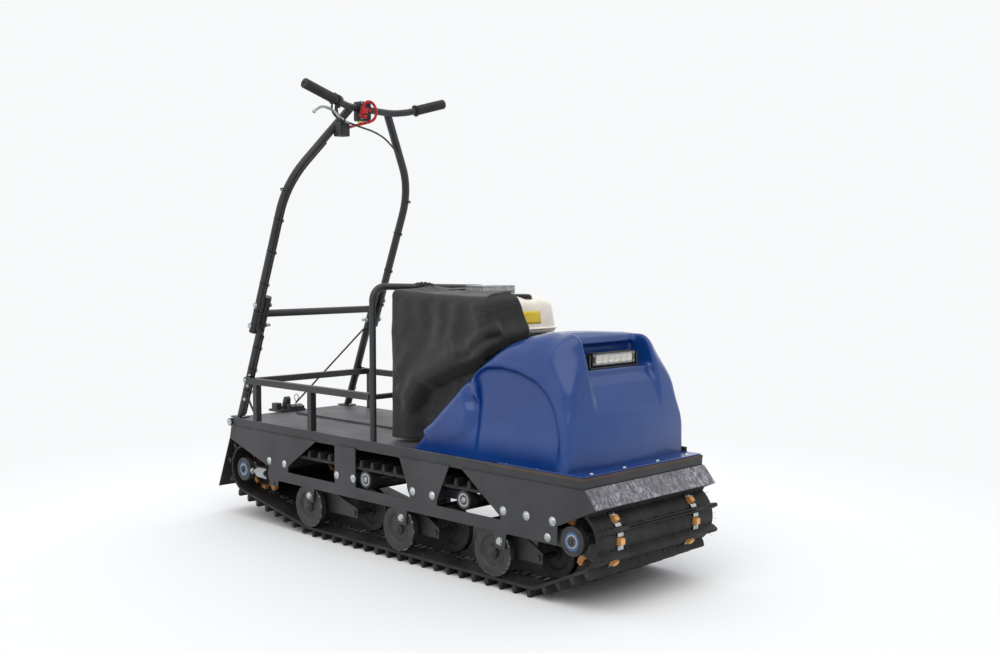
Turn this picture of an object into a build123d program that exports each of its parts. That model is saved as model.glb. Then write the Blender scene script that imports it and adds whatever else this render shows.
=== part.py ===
"""Tracked snow tug: a walk-behind tractor on one wide rubber track.

Millimetres. +X is forward, +Y is to the left and +Z is up. The origin is on
the ground under the middle of the machine, which stands on its track lugs.
"""

import os
from math import acos, atan2, cos, degrees, hypot, pi, radians, sin, sqrt

from build123d import *

# Track and running gear
TRACK_WIDTH = 484.0
BELT = 8.0
LUG = 21.0
LUG_BASE = 16.0
LUG_TIP = 9.0
ROLLER_R = 67.5
ROLLER_Z = LUG + BELT + ROLLER_R
DRUM_R = 74.0
FRONT_AXLE_X = 762.0
FRONT_AXLE_Z = 174.0
REAR_AXLE_X = -701.0
REAR_AXLE_Z = 168.0
TEETH = 9
TOOTH_TIP_R = 93.0
SPROCKET_ROOT_R = 62.0
SCALLOP_R = 19.5
TOOTH_TIP_W = 12.0
HUB_R = 38.0
SPROCKET_W = 16.0
SPROCKET_Y = 160.0
WINDOW_W = 24.0
WINDOW_L = 30.0
ROLLER_W = 22.0
OUTER_ROLLER_Y = TRACK_WIDTH / 2 + 1 - ROLLER_W / 2
INNER_ROLLER_Y = 128.0
PIVOT_Z = 132.0
SUPPORT_R = 27.0
SUPPORT_W = 32.0
SIDE_GAP = 5.0
RUNNING_GAP = 0.2
TIE_GAP = 0.3

# Frame and side plates
PLATE = 3.0
INNER_Y = TRACK_WIDTH / 2 + SIDE_GAP
SIDE_Y = INNER_Y + PLATE
RAIL = 30.0
DECK_Z = 335.0
DECK_T = 2.0
DECK_RIB_X = (-680.0, -54.0)
DECK_RIB_Y = (-47.0, -43.0)
DECK_RIB_H = 7.0
FRAME_REAR_X = -766.0
FRAME_FRONT_X = 804.0
BEAM_TOP_Z = 190.0
BEAM_LOW_Z = 156.0
CHANNEL_Z = 202.0
CHANNEL_H = 30.0

# Axle ends
BEARING_R = 26.0
BEARING_W = 15.0
BORE_R = 12.5
HOUSING_R = 35.0
AXLE_TUBE_R = 20.0

# Sheet pieces at the ends of the frame, from the side: x, z
BUMPER = [(806, 308), (843, 263), (846, 265), (808, 311)]
CROSSBAR = (-779.0, 320.0)
LATCH_X = (722.0, 746.0)
LATCH_Z = (318.0, 352.0)
LATCH_T = 9.0

# Load basket, hoop and handle
TUBE = 20.0
BASKET_Z = 468.0
BASKET_REAR_X = -653.0
HOOP_X = -24.0
HOOP_TOP_Z = 792.0
HOOP_BEND_R = 60.0
HOOP_BAR = 16.0
HANDLE_TUBE_R = 13.0
LOWER_Y = SIDE_Y - 23
ARCH_Y = LOWER_Y + 2 * HANDLE_TUBE_R + 2
LEAN = 22.2
FOOT_X = -746.0
FOOT_Z = 337.0
FOLD_Z = 655.0
BAR_R = 11.0
GRIP_R = 16.0

FOLD_X = FOOT_X + (FOLD_Z - FOOT_Z) * sin(radians(LEAN)) / cos(radians(LEAN))
DECK_TOP = DECK_Z + DECK_T
FRAME_LOW_Z = DECK_Z - RAIL

os.makedirs("parts", exist_ok=True)


def block(x, y, z):
    """A box between pairs of limits on each axis."""
    size = (x[1] - x[0], y[1] - y[0], z[1] - z[0])
    return Pos((x[0] + x[1]) / 2, (y[0] + y[1]) / 2, (z[0] + z[1]) / 2) * Box(*size)


def rod_y(x, z, radius, y0, y1):
    """A round bar along Y from y0 to y1."""
    plane = Plane((x, min(y0, y1), z), x_dir=(1, 0, 0), z_dir=(0, 1, 0))
    return Solid.make_cylinder(radius, abs(y1 - y0), plane)


def slab(outline, y0, y1):
    """A flat piece cut to an (x, z) outline, between two values of y."""
    face = make_face(Polyline(*[(x, y0, z) for x, z in outline], close=True))
    return extrude(face, amount=y1 - y0, dir=(0, 1, 0))


def tube_path(points, radii, radius):
    """A round bar that follows straight runs joined by tangent arcs."""
    path = FilletPolyline(*points, radius=radii) if radii else Line(*points)
    start = Plane(path @ 0, z_dir=path % 0)
    return sweep(start * Circle(radius), path=path)


def both_sides(shape):
    """The piece and its mirror image across the middle of the machine."""
    return Compound([*shape.solids(), *mirror(shape, about=Plane.XZ).solids()])


def save(shape, name):
    """Write one node, as a single solid or as the solids that do not touch."""
    solids = shape.solids()
    out = solids[0] if len(solids) == 1 else Compound(solids)
    export_step(out, f"parts/{name}.step")


# The belt's path is the tight loop round these circles: x, z, radius
WRAPS = [
    (FRONT_AXLE_X, FRONT_AXLE_Z, DRUM_R),
    (REAR_AXLE_X, REAR_AXLE_Z, DRUM_R),
    (-346.0, ROLLER_Z, ROLLER_R),
    (609.0, ROLLER_Z, ROLLER_R),
]


def wrap_runs():
    """The arcs and straight runs of the belt's inner face, in travel order."""
    count = len(WRAPS)
    normals = []
    for i in range(count):
        x0, z0, r0 = WRAPS[i]
        x1, z1, r1 = WRAPS[(i + 1) % count]
        length = hypot(x1 - x0, z1 - z0)
        normals.append(atan2(z1 - z0, x1 - x0) - acos((r0 - r1) / length))
    runs = []
    for i in range(count):
        x0, z0, r0 = WRAPS[i]
        x1, z1, r1 = WRAPS[(i + 1) % count]
        turn = (normals[i] - normals[i - 1]) % (2 * pi)
        runs.append(("arc", x0, z0, r0, normals[i - 1], turn * r0))
        start = (x0 + r0 * cos(normals[i]), z0 + r0 * sin(normals[i]))
        run = sqrt(hypot(x1 - x0, z1 - z0) ** 2 - (r0 - r1) ** 2)
        runs.append(("line", start[0], start[1], r0, normals[i], run))
    return runs


RUNS = wrap_runs()
LOOP = sum(run[5] for run in RUNS)
WINDOWS = round(LOOP / (2 * pi * DRUM_R / TEETH))
PITCH = LOOP / WINDOWS


def belt_point(distance):
    """Position on the belt's inner face and the angle of its outward normal."""
    left = distance % LOOP
    for kind, x, z, r, normal, length in RUNS:
        if left <= length:
            break
        left -= length
    if kind == "arc":
        angle = normal + left / r
        return x + r * cos(angle), z + r * sin(angle), angle
    return x - sin(normal) * left, z + cos(normal) * left, normal


def on_belt(distance, along, out):
    """The (x, z) of a point at a place on the belt, moved along and outward."""
    x, z, angle = belt_point(distance)
    return (
        x + out * cos(angle) - along * sin(angle),
        z + out * sin(angle) + along * cos(angle),
    )


# The first window sits on the front drum, facing forward
FIRST_WINDOW = (0 - RUNS[0][4]) % (2 * pi) * DRUM_R
# How far ahead of the origin the foremost lug reaches: the flap hangs as far back
REACH = max(
    on_belt(FIRST_WINDOW + (i + 0.5) * PITCH, side * LUG_TIP / 2, BELT + LUG)[0]
    for i in range(WINDOWS) for side in (-1, 1)
)


FLAP_TOP_Z = FRAME_LOW_Z - TIE_GAP
FLAP = [
    (-740, FLAP_TOP_Z), (-770, FLAP_TOP_Z), (-REACH, 90), (4 - REACH, 90),
    (-767, FLAP_TOP_Z - 4), (-740, FLAP_TOP_Z - 4),
]


def belt_outline(growth):
    """The filled outline of the belt's path, grown outward."""
    circles = [Pos(x, z) * Circle(r + growth) for x, z, r in WRAPS]
    return make_hull([edge for circle in circles for edge in circle.edges()])


def window_angle(axle_x, facing):
    """The direction of the window nearest to a heading on a drum."""
    best = None
    for i in range(WINDOWS):
        x, z, angle = belt_point(FIRST_WINDOW + i * PITCH)
        gap = abs((angle - facing + pi) % (2 * pi) - pi)
        if abs(x - axle_x) < DRUM_R + 1 and (best is None or gap < best[0]):
            best = (gap, angle)
    return best[1]


def make_track():
    """One endless belt with a row of lugs and two rows of drive windows."""
    belt = belt_outline(BELT) - belt_outline(0)
    lugs = []
    for i in range(WINDOWS):
        at = FIRST_WINDOW + (i + 0.5) * PITCH
        corners = [
            on_belt(at, -LUG_BASE / 2, BELT - 1),
            on_belt(at, -LUG_TIP / 2, BELT + LUG),
            on_belt(at, LUG_TIP / 2, BELT + LUG),
            on_belt(at, LUG_BASE / 2, BELT - 1),
        ]
        lugs.append(make_face(Polyline(*corners, close=True)))
    profile = belt.fuse(*[lug.face() for lug in lugs])
    track = extrude(Plane.XZ * profile, amount=TRACK_WIDTH / 2, both=True)
    holes = []
    for i in range(WINDOWS):
        at = FIRST_WINDOW + i * PITCH
        corners = [
            on_belt(at, -WINDOW_L / 2, -5),
            on_belt(at, WINDOW_L / 2, -5),
            on_belt(at, WINDOW_L / 2, BELT + 5),
            on_belt(at, -WINDOW_L / 2, BELT + 5),
        ]
        for side in (-1, 1):
            middle = side * SPROCKET_Y
            holes.append(slab(corners, middle - WINDOW_W / 2, middle + WINDOW_W / 2))
    return track.cut(*[hole.solid() for hole in holes])


def make_sprocket(x, z, phase):
    """A nine-tooth driver with its hub, on the left side of an axle."""
    face = Circle(TOOTH_TIP_R)
    scallop = SPROCKET_ROOT_R + SCALLOP_R
    tip = pi * TOOTH_TIP_R / TEETH - TOOTH_TIP_W / 2
    wedge = [(scallop, -SCALLOP_R), (TOOTH_TIP_R, -tip), (2 * TOOTH_TIP_R, -2 * tip)]
    wedge += [(r, -half) for r, half in reversed(wedge)]
    for i in range(TEETH):
        turn = Rot(0, 0, degrees(phase) + (i + 0.5) * 360 / TEETH)
        face -= turn * (Pos(scallop, 0) * Circle(SCALLOP_R) + make_face(Polyline(*wedge, close=True)))
    face -= Circle(AXLE_TUBE_R + RUNNING_GAP)
    hub = Circle(HUB_R) - Circle(AXLE_TUBE_R + RUNNING_GAP)
    plane = Plane((x, SPROCKET_Y, z), x_dir=(1, 0, 0), z_dir=(0, -1, 0))
    disc = extrude(plane * face, amount=SPROCKET_W / 2, both=True)
    return disc + extrude(plane * hub, amount=SPROCKET_W / 2 + 9, both=True)


def make_axle(x, z):
    """A tube shaft with turned ends that carry the bearings."""
    tube = rod_y(x, z, AXLE_TUBE_R, 5 - BRACKET_Y, BRACKET_Y - 5)
    return tube + rod_y(x, z, BORE_R - 0.1, -SIDE_Y, SIDE_Y)


def make_roller(x, z, y, radius, width, bore):
    """A dished road wheel: rim, recessed web and raised hub."""
    half = width / 2
    # Half section: distance from the axle, place along the axle
    section = [
        (bore, -half), (16, -half), (18, -half + 5), (40, -half + 6), (46, -half + 1),
        (radius - 3, -half), (radius, -half + 3), (radius, half - 3), (radius - 3, half),
        (46, half - 1), (40, half - 6), (18, half - 5), (16, half), (bore, half),
    ]
    face = make_face(Polyline(*[(r, 0, w) for r, w in section], close=True))
    wheel = revolve(face, Axis.Z, 360)
    return Pos(x, y, z) * Rot(90, 0, 0) * wheel


# Bogies: x of the pivot, of the outer rollers and of the inner rollers
BOGIES = [(-329.0, -346.0, -161.0), (113.0, 89.0, 209.0), (511.0, 474.0, 609.0)]
SUPPORTS = [-61.0, 363.0]
AXLE_R = 8.0
PIVOT_R = 17.0
ARM_T = 6.0
ARM_Y = OUTER_ROLLER_Y - ROLLER_W / 2 - 16


def make_rollers(column, y):
    """The pairs of road wheels named by one column of the bogie table."""
    parts = []
    for bogie in BOGIES:
        radius = ROLLER_R - RUNNING_GAP
        wheel = make_roller(bogie[column], ROLLER_Z, y, radius, ROLLER_W, AXLE_R + RUNNING_GAP)
        parts += both_sides(wheel).solids()
    return Compound(parts)


def make_rocker(pivot, outer, inner):
    """Two side arms with a stub axle for each outer wheel and a through axle."""
    low = ROLLER_Z - 15
    outline = [
        (outer - 15, low), (inner + 15, low), (inner + 15, ROLLER_Z + 15),
        (pivot + 26, PIVOT_Z + 24), (pivot - 26, PIVOT_Z + 24), (outer - 15, ROLLER_Z + 12),
    ]
    arm = slab(outline, ARM_Y - ARM_T, ARM_Y)
    arm -= rod_y(pivot, PIVOT_Z, PIVOT_R + 0.2, ARM_Y - 20, ARM_Y + 20)
    arm -= rod_y(inner, ROLLER_Z, AXLE_R + 0.2, ARM_Y - 20, ARM_Y + 20)
    arm += rod_y(outer, ROLLER_Z, AXLE_R, ARM_Y, OUTER_ROLLER_Y + ROLLER_W / 2)
    through = rod_y(inner, ROLLER_Z, AXLE_R, -ARM_Y - 4, ARM_Y + 4)
    return Compound([*both_sides(arm).solids(), through])


def support_z(x):
    """Height of a support wheel's axle, just under the belt's top run."""
    top_run = RUNS[1]
    share = (top_run[1] - x) / top_run[5]
    return top_run[2] + (REAR_AXLE_Z - FRONT_AXLE_Z) * share - SUPPORT_R - 0.3


# Side plate, from the rear top corner round: x, z
SIDE_OUTLINE = [
    (-770, 308), (-294, 308), (-443, 210), (-444, BEAM_TOP_Z), (-199, BEAM_TOP_Z),
    (-199, 308), (-98, 308), (-98, BEAM_TOP_Z), (149, BEAM_TOP_Z), (149, 206),
    (104, 308), (315, 308), (264, 206), (264, BEAM_TOP_Z), (514, BEAM_TOP_Z),
    (514, 198), (363, 308), (806, 308), (843, 263), (715, 206), (715, BEAM_LOW_Z),
    (-497, BEAM_LOW_Z), (-502, 136), (-542, 136), (-556, 172), (-550, 196), (-780, 265),
]
EAR_HALF = 24.0
EAR_LOW_Z = 112.0
BRACKET_Y = TRACK_WIDTH / 2 - 32
SHELF_Z = 167.0


def make_side_plate():
    """The left side plate: hangers, lower beam and an ear for each bogie pivot."""
    plate = slab(SIDE_OUTLINE, INNER_Y, SIDE_Y)
    for pivot, outer, inner in BOGIES:
        ear = [
            (pivot - EAR_HALF, BEAM_LOW_Z + 2), (pivot + EAR_HALF, BEAM_LOW_Z + 2),
            (pivot + EAR_HALF - 6, EAR_LOW_Z), (pivot - EAR_HALF + 6, EAR_LOW_Z),
        ]
        plate += slab(ear, INNER_Y, SIDE_Y)
    return plate - rod_y(-516, 145, 6, INNER_Y - 5, SIDE_Y + 5)


def make_main_frame():
    """The ladder frame of square tube under the deck."""
    frame = block((FRAME_REAR_X, FRAME_FRONT_X), (-INNER_Y, INNER_Y), (FRAME_LOW_Z, DECK_Z))
    bays = [(-736, -164), (-134, 194), (224, 574), (604, 774)]
    for bay in bays:
        frame -= block(bay, (RAIL - INNER_Y, INNER_Y - RAIL), (FRAME_LOW_Z - 1, DECK_Z + 1))
    return frame


# Channels bolted between the hangers: x of the middle, length along X
CHANNELS = [(-504.0, 110.0), (-155.0, 100.0), (204.0, 110.0), (590.0, 130.0)]
# Side arms that hold a support wheel's shaft: number of the channel, x of the shaft
SUPPORT_ARMS = [(1, SUPPORTS[0]), (2, SUPPORTS[1])]
SHAFT_R = 7.5


def make_cross_members():
    """The channels that tie the two side plates, each with end plates."""
    parts = []
    for middle, length in CHANNELS:
        x = (middle - length / 2, middle + length / 2)
        y = (-INNER_Y, INNER_Y)
        beam = block(x, y, (CHANNEL_Z, CHANNEL_Z + CHANNEL_H))
        inside = (x[0] + 4, x[1] - 4)
        beam -= block(inside, (4 - INNER_Y, INNER_Y - 4), (CHANNEL_Z - 1, CHANNEL_Z + CHANNEL_H - 4))
        parts.append(beam)
    for channel, shaft in SUPPORT_ARMS:
        z = support_z(shaft)
        start = CHANNELS[channel][0] + CHANNELS[channel][1] / 2 - 1
        outline = [
            (start, CHANNEL_Z + 2), (shaft + 14, z - 12), (shaft + 14, z + 12),
            (start, CHANNEL_Z + CHANNEL_H - 2),
        ]
        face = BRACKET_Y - 8
        arm = slab(outline, face - ARM_T, face)
        arm -= rod_y(shaft, z, SHAFT_R + RUNNING_GAP, face - 20, face + 20)
        parts[channel] = parts[channel].fuse(*both_sides(arm).solids())
    return Compound([part.solid() for part in parts])


def make_pivot_brackets():
    """Cranked brackets that carry each bogie pivot clear of the outer wheels."""
    parts = []
    for pivot, outer, inner in BOGIES:
        x = (pivot - EAR_HALF, pivot + EAR_HALF)
        shelf = block(x, (BRACKET_Y, INNER_Y), (SHELF_Z, SHELF_Z + 6))
        wall = block(x, (BRACKET_Y, BRACKET_Y + 6), (EAR_LOW_Z, SHELF_Z + 6))
        bracket = shelf + wall - rod_y(pivot, PIVOT_Z, PIVOT_R, BRACKET_Y - PLATE, INNER_Y)
        parts += both_sides(bracket).solids()
    return Compound(parts)


def make_housings(x, z, reach):
    """Bearing housing on its bracket plate: the bracket reaches to one x."""
    low, high = sorted((x, reach))
    plate = block((low, high), (INNER_Y - 5, INNER_Y), (z - 38, CHANNEL_Z - 2))
    ring = rod_y(x, z, HOUSING_R, BRACKET_Y, SIDE_Y)
    body = plate + ring
    body -= rod_y(x, z, BEARING_R + 0.2, SIDE_Y - BEARING_W - 2, SIDE_Y + 1)
    body -= rod_y(x, z, BORE_R + 2, BRACKET_Y - 10, SIDE_Y)
    return both_sides(body)


def make_bearings():
    """Four sealed ball bearings, as closed rings."""
    parts = []
    for x, z in ((FRONT_AXLE_X, FRONT_AXLE_Z), (REAR_AXLE_X, REAR_AXLE_Z)):
        ring = rod_y(x, z, BEARING_R, SIDE_Y - BEARING_W - 2, SIDE_Y - 2)
        ring -= rod_y(x, z, BORE_R, BRACKET_Y, SIDE_Y + 1)
        parts += both_sides(ring).solids()
    return Compound(parts)


def lean_point(y, along, ahead=0.0):
    """A point of the leaning handle, measured up from the fold and ahead of it."""
    tilt = radians(LEAN)
    x = FOLD_X + along * sin(tilt) + ahead * cos(tilt)
    return (x, y, FOLD_Z + along * cos(tilt) - ahead * sin(tilt))


def make_basket():
    """The load rails round the rear deck, on four posts and bolted to the handle."""
    x0, x1 = BASKET_REAR_X, HOOP_X - TUBE / 2
    y = SIDE_Y - TUBE / 2
    z = BASKET_Z - TUBE / 2
    ring = block((x0 - TUBE / 2, x1), (-SIDE_Y, SIDE_Y), (z, z + TUBE))
    ring -= block((x0 + TUBE / 2, x1 + 1), (TUBE - SIDE_Y, SIDE_Y - TUBE), (z - 1, z + TUBE + 1))
    for x in (-628.0, -327.0):
        for side in (-1, 1):
            post = (side * y - TUBE / 2, side * y + TUBE / 2)
            ring += block((x - TUBE / 2, x + TUBE / 2), post, (DECK_TOP, z + 1))
    stub = Plane((x0 - TUBE / 2 + 1, LOWER_Y + 9, BASKET_Z), z_dir=(-1, 0, 0))
    bolt = Solid.make_cylinder(4, 24, stub) - make_upright()
    return ring.fuse(*both_sides(bolt).solids())


def make_hoop():
    """The upright hoop behind the engine, with its middle bar."""
    y = SIDE_Y - TUBE / 2
    r = TUBE / 2
    near = [(HOOP_X, -y, DECK_TOP), (HOOP_X, -y, HOOP_TOP_Z - r)]
    far = [(HOOP_X, y, HOOP_TOP_Z - r), (HOOP_X, y, DECK_TOP)]
    hoop = tube_path(near + far, [HOOP_BEND_R, HOOP_BEND_R], r)
    half = HOOP_BAR / 2
    bar = block((HOOP_X - half, HOOP_X + half), (-y, y), (BASKET_Z - half, BASKET_Z + half))
    return hoop + bar


ARCH_BEND_R = 300.0
ARCH_TOP_Y = 76.0
ARCH_CORNER = 492.0
ARCH_TOP = 752.0


def make_arch():
    """The two tubes of the upper handle, which close in towards the bar."""
    top = lean_point(ARCH_TOP_Y, ARCH_TOP)
    corner = lean_point(ARCH_Y, ARCH_CORNER)
    foot = lean_point(ARCH_Y, -22)
    side = tube_path([foot, corner, top], [ARCH_BEND_R], HANDLE_TUBE_R)
    side -= rod_y(FOLD_X, FOLD_Z, 5.05, 0, SIDE_Y + 50)
    return both_sides(side - make_handlebar())


def make_upright():
    """One lower tube of the handle, cut level at the deck."""
    tube = tube_path([lean_point(LOWER_Y, -360), lean_point(LOWER_Y, 102)], None, HANDLE_TUBE_R)
    return tube - block((-900, 0), (0, 400), (0, DECK_TOP))


def make_lower_handle():
    """The two uprights and the crossbar that carry the folding arch."""
    side = make_upright() - rod_y(FOLD_X, FOLD_Z, 5.0, 0, SIDE_Y + 50)
    foot = block((FOOT_X - 32, FOOT_X + 24), (LOWER_Y - 20, LOWER_Y + 20), (DECK_TOP, DECK_TOP + 4))
    pair = both_sides(side + foot)
    bar = lean_point(0, 42)
    return pair.fuse(rod_y(bar[0], bar[2], 12, -LOWER_Y, LOWER_Y))


def make_fold_bolts():
    """The two bolts that the arch folds about."""
    shank = rod_y(FOLD_X, FOLD_Z, 5.0, LOWER_Y - 32, ARCH_Y + 19)
    head = rod_y(FOLD_X, FOLD_Z, 9.0, ARCH_Y + HANDLE_TUBE_R + 0.5, ARCH_Y + 20)
    return both_sides(shank + head)


# Handlebar, from the middle outwards: x, y, z
BAR = [(-321.0, 76.0, 1353.0), (-296.0, 165.0, 1371.0), (-288.0, 282.0, 1406.0)]


def make_handlebar():
    """The bent tube across the top of the arch."""
    right = [(x, -y, z) for x, y, z in reversed(BAR)]
    return tube_path([*right, *BAR], [60, 60, 60, 60], BAR_R)


def make_grips():
    """The two hand grips, each a sleeve round the end of the bar."""
    inner, outer = Vector(*BAR[1]), Vector(*BAR[2])
    way = (outer - inner).normalized()
    plane = Plane(outer - way * 105, z_dir=way)
    sleeve = Solid.make_cylinder(GRIP_R, 108, plane) - Solid.make_cylinder(BAR_R + 0.2, 105, plane)
    return both_sides(sleeve)


# Fabric cover over the engine: limits, fabric thickness and its short front
COVER_X = (-13.7, 400.0)
COVER_Y = (195.0, 200.0)
COVER_Z = (342.0, 793.0)
COVER_T = 5.0
COVER_REAR_X = 75.0
COVER_FRONT_Y = -20.0

# Hood seen from the side, its corners with a rounding each: x, z, radius
HOOD_SIDE = [
    (136, 200, 0), (136, 337, 0), (176, 354, 8), (193, 398, 14), (388, 576, 20),
    (442, 622, 40), (535, 675, 100), (706, 702, 90), (762, 430, 200), (758, 200, 0),
]
# Half of the hood seen from the front, from the floor up: y, z, radius
FAR = 900.0
HOOD_Y = INNER_Y - 4
HOOD_HALF = [(HOOD_Y, 200, 0), (HOOD_Y, 430, 300), (HOOD_Y - 39, 684, 85)]
# The same for its sunken side panels, which flare out again at the foot
PANEL_Y = HOOD_Y - 8
PANEL_HALF = [
    (HOOD_Y, 200, 0), (HOOD_Y, 341, 0), (PANEL_Y, 362, 25), (PANEL_Y, 430, 300),
    (PANEL_Y - 39, 684, 85),
]
# What stands proud of the side panels, over the arch and over the tail: x, z
OVER_ARCH = [
    (300, 600), (366, 548), (388, 536), (404, 573), (430, 584), (485, 587), (550, 579),
    (612, 560), (655, 530), (685, 490), (699, 430), (FAR, 430), (FAR, FAR), (300, FAR),
]
TAIL_LOBE = [(100, 395), (300, 395), (360, 408), (380, 450), (370, 495), (349, 560), (100, 560)]
NOSE_BOW = 20.0
NOSE_X = 760.0
FRONT_BOW_R = HOOD_Y ** 2 / (2 * NOSE_BOW) + NOSE_BOW / 2
HOOD_T = 4.0
# The lamp's niche and the panel below it, and how the shell follows it: x, z
LAMP_SHELF_Z = 589.0
NICHE = [
    (636, LAMP_SHELF_Z), (703, LAMP_SHELF_Z - 2), (757, 465), (FAR, 465), (FAR, FAR), (578, FAR), (578, 693),
    (622, 684), (648, 654), (636, 650),
]
NICHE_BACK = [
    (632, LAMP_SHELF_Z - 4), (701, LAMP_SHELF_Z - 6), (755, 461), (FAR, 461), (FAR, FAR), (574, FAR), (574, 689),
    (619, 680), (640, 657), (632, 654),
]
NICHE_HALF = 137.0
RIM_X = (500.0, 800.0)
# The roof is open over the engine, and wider over its fabric cover
ROOF_REAR_X = 540.0
ROOF_HALF = 178.0
COVER_GAP = 8.0


def rounded(corners, inward):
    """A face from corners with their own roundings, shrunk by a distance."""
    points = [(a, b) for a, b, r in corners]
    face = make_face(Polyline(*points, close=True))
    for a, b, r in corners:
        if r:
            face = fillet(face.vertices().sort_by_distance((a, b, 0))[0], r)
    return offset(face, amount=-inward) if inward else face


def front_form(half, wall):
    """A prism along X from half of a front outline."""
    other = [(-y, z, r) for y, z, r in reversed(half)]
    return extrude(Plane.YZ * rounded(half + other, wall), amount=FAR)


def side_form(corners, wall):
    """A prism along Y from a side outline."""
    return extrude(Plane.XZ * rounded(corners, wall), amount=FAR, both=True)


def hood_form(wall):
    """The closed form of the hood, shrunk by a wall thickness."""
    proud = side_form([(x, z, 0) for x, z in OVER_ARCH], wall)
    proud += side_form([(x, z, 0) for x, z in TAIL_LOBE], wall)
    body = front_form(PANEL_HALF, wall) + (front_form(HOOD_HALF, wall) & proud)
    bow = Pos(NOSE_X - FRONT_BOW_R, 0, 0) * Cylinder(FRONT_BOW_R - wall, 2 * FAR)
    return side_form(HOOD_SIDE, wall) & body & bow


def make_hood():
    """The moulded nose cover, open to the rear, with a bolted rim."""
    niche = slab(NICHE, -NICHE_HALF, NICHE_HALF)
    lining = slab(NICHE_BACK, -NICHE_HALF - HOOD_T, NICHE_HALF + HOOD_T)
    inner = hood_form(HOOD_T) - lining
    shell = hood_form(0) - niche - inner
    shell -= block((0, ROOF_REAR_X), (-ROOF_HALF, ROOF_HALF), (0, FAR))
    beside = COVER_Y[1] + COVER_GAP
    shell -= block((0, COVER_X[1] + 12), (-beside, beside), (0, FAR))
    shell -= block((0, FAR), (-FAR, FAR), (0, DECK_TOP))
    rim = block(RIM_X, (-INNER_Y, INNER_Y), (DECK_TOP, DECK_TOP + HOOD_T))
    return shell + (rim - hood_form(1))


# Engine block, fuel tank with its cap, and the guard over the silencer
ENGINE_X = (60.0, 380.0)
ENGINE_Y = (-136.0, 172.0)
TANK_X = (174.0, 384.0)
TANK_Y = (-165.0, 115.0)
TANK_LOW_Z = 660.0
TANK_SEAM_Z = 706.0
TANK_TOP_Z = 774.0
TANK_CORNER = 25.0
TANK_CROWN = 18.0
TANK_LIP = 5.0
CAP_X = 334.0
CAP_Y = 20.0
CAP_R = 28.0
CAP_H = 12.0
GUARD_X = (85.0, 165.0)
GUARD_Y = (30.0, 168.0)
GUARD_TOP_Z = 794.0


def make_engine():
    """Engine block, tank, cap and the guard over the silencer."""
    save(block(ENGINE_X, ENGINE_Y, (DECK_TOP, TANK_LOW_Z)), "engine_block")
    tank = block(TANK_X, TANK_Y, (TANK_LOW_Z, TANK_TOP_Z))
    tank = fillet(tank.edges().filter_by(Axis.Z), TANK_CORNER)
    tank = fillet(tank.faces().sort_by(Axis.Z)[-1].edges(), TANK_CROWN)
    lip_x = (TANK_X[0] - TANK_LIP, TANK_X[1] + TANK_LIP)
    lip_y = (TANK_Y[0] - TANK_LIP, TANK_Y[1] + TANK_LIP)
    lip = block(lip_x, lip_y, (TANK_SEAM_Z - TANK_LIP / 2, TANK_SEAM_Z + TANK_LIP / 2))
    save(tank + fillet(lip.edges().filter_by(Axis.Z), TANK_CORNER + TANK_LIP), "fuel_tank")
    cap = Cylinder(CAP_R, CAP_H, align=(Align.CENTER, Align.CENTER, Align.MIN))
    save(Pos(CAP_X, CAP_Y, TANK_TOP_Z) * cap, "fuel_cap")
    save(block(GUARD_X, GUARD_Y, (TANK_LOW_Z, GUARD_TOP_Z)), "muffler_guard")


def make_cover():
    """The fabric cover over the back of the engine, as a stiff open box."""
    x0, x1 = COVER_X
    y0, y1 = -COVER_Y[1], COVER_Y[0]
    plan = [(x0, y0), (x1, y0), (x1, COVER_FRONT_Y), (COVER_REAR_X, COVER_FRONT_Y),
            (COVER_REAR_X, y1), (x0, y1)]
    height = COVER_Z[1] - COVER_Z[0]
    outer = extrude(make_face(Polyline(*plan, close=True)), amount=height)
    x0, x1, y0 = x0 + COVER_T, x1 - COVER_T, y0 + COVER_T
    rear, front = COVER_REAR_X + COVER_T, COVER_FRONT_Y + COVER_T
    hollow = [(x0, y0), (x1, y0), (x1, front), (rear, front), (rear, FAR), (x0, FAR)]
    inner = extrude(make_face(Polyline(*hollow, close=True)), amount=height - COVER_T)
    return Pos(0, 0, COVER_Z[0]) * (outer - inner)


# Work lamp on the niche's shelf: its bracket, body and lens
LAMP_X = (668.0, 691.0)
LAMP_Z = (LAMP_SHELF_Z + 5, LAMP_SHELF_Z + 43)
LAMP_HALF = 94.0
LENS_T = 3.0
LENS_MARGIN = (10.0, 5.0)
LAMP_STRAP = 6.0


def make_lamp():
    """The work lamp on the hood's shelf, in its bracket."""
    x0, x1 = LAMP_X
    save(block(LAMP_X, (-LAMP_HALF, LAMP_HALF), LAMP_Z), "lamp_housing")
    half = LAMP_HALF - LENS_MARGIN[0]
    lens_z = (LAMP_Z[0] + LENS_MARGIN[1], LAMP_Z[1] - LENS_MARGIN[1])
    save(block((x1, x1 + LENS_T), (-half, half), lens_z), "lamp_lens")
    reach = LAMP_HALF + LAMP_STRAP
    bracket = block((x0 - 4, x1 + 5), (-reach, reach), (LAMP_SHELF_Z, LAMP_SHELF_Z + 4))
    for side in (-1, 1):
        y = sorted((side * (LAMP_HALF + TIE_GAP), side * reach))
        bracket += block((x0, x1), y, (LAMP_SHELF_Z, LAMP_Z[1] - 7))
    save(bracket, "lamp_bracket")


# Tow hitch on the rear edge of the deck
HITCH_X = (-815.0, -738.0)
HITCH_Y = (-68.0, 34.0)
HITCH_T = 8.0
TOW_PIN_X = -804.0
TOW_PIN_Y = -18.0
TOW_BORE_R = 7.0
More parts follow.
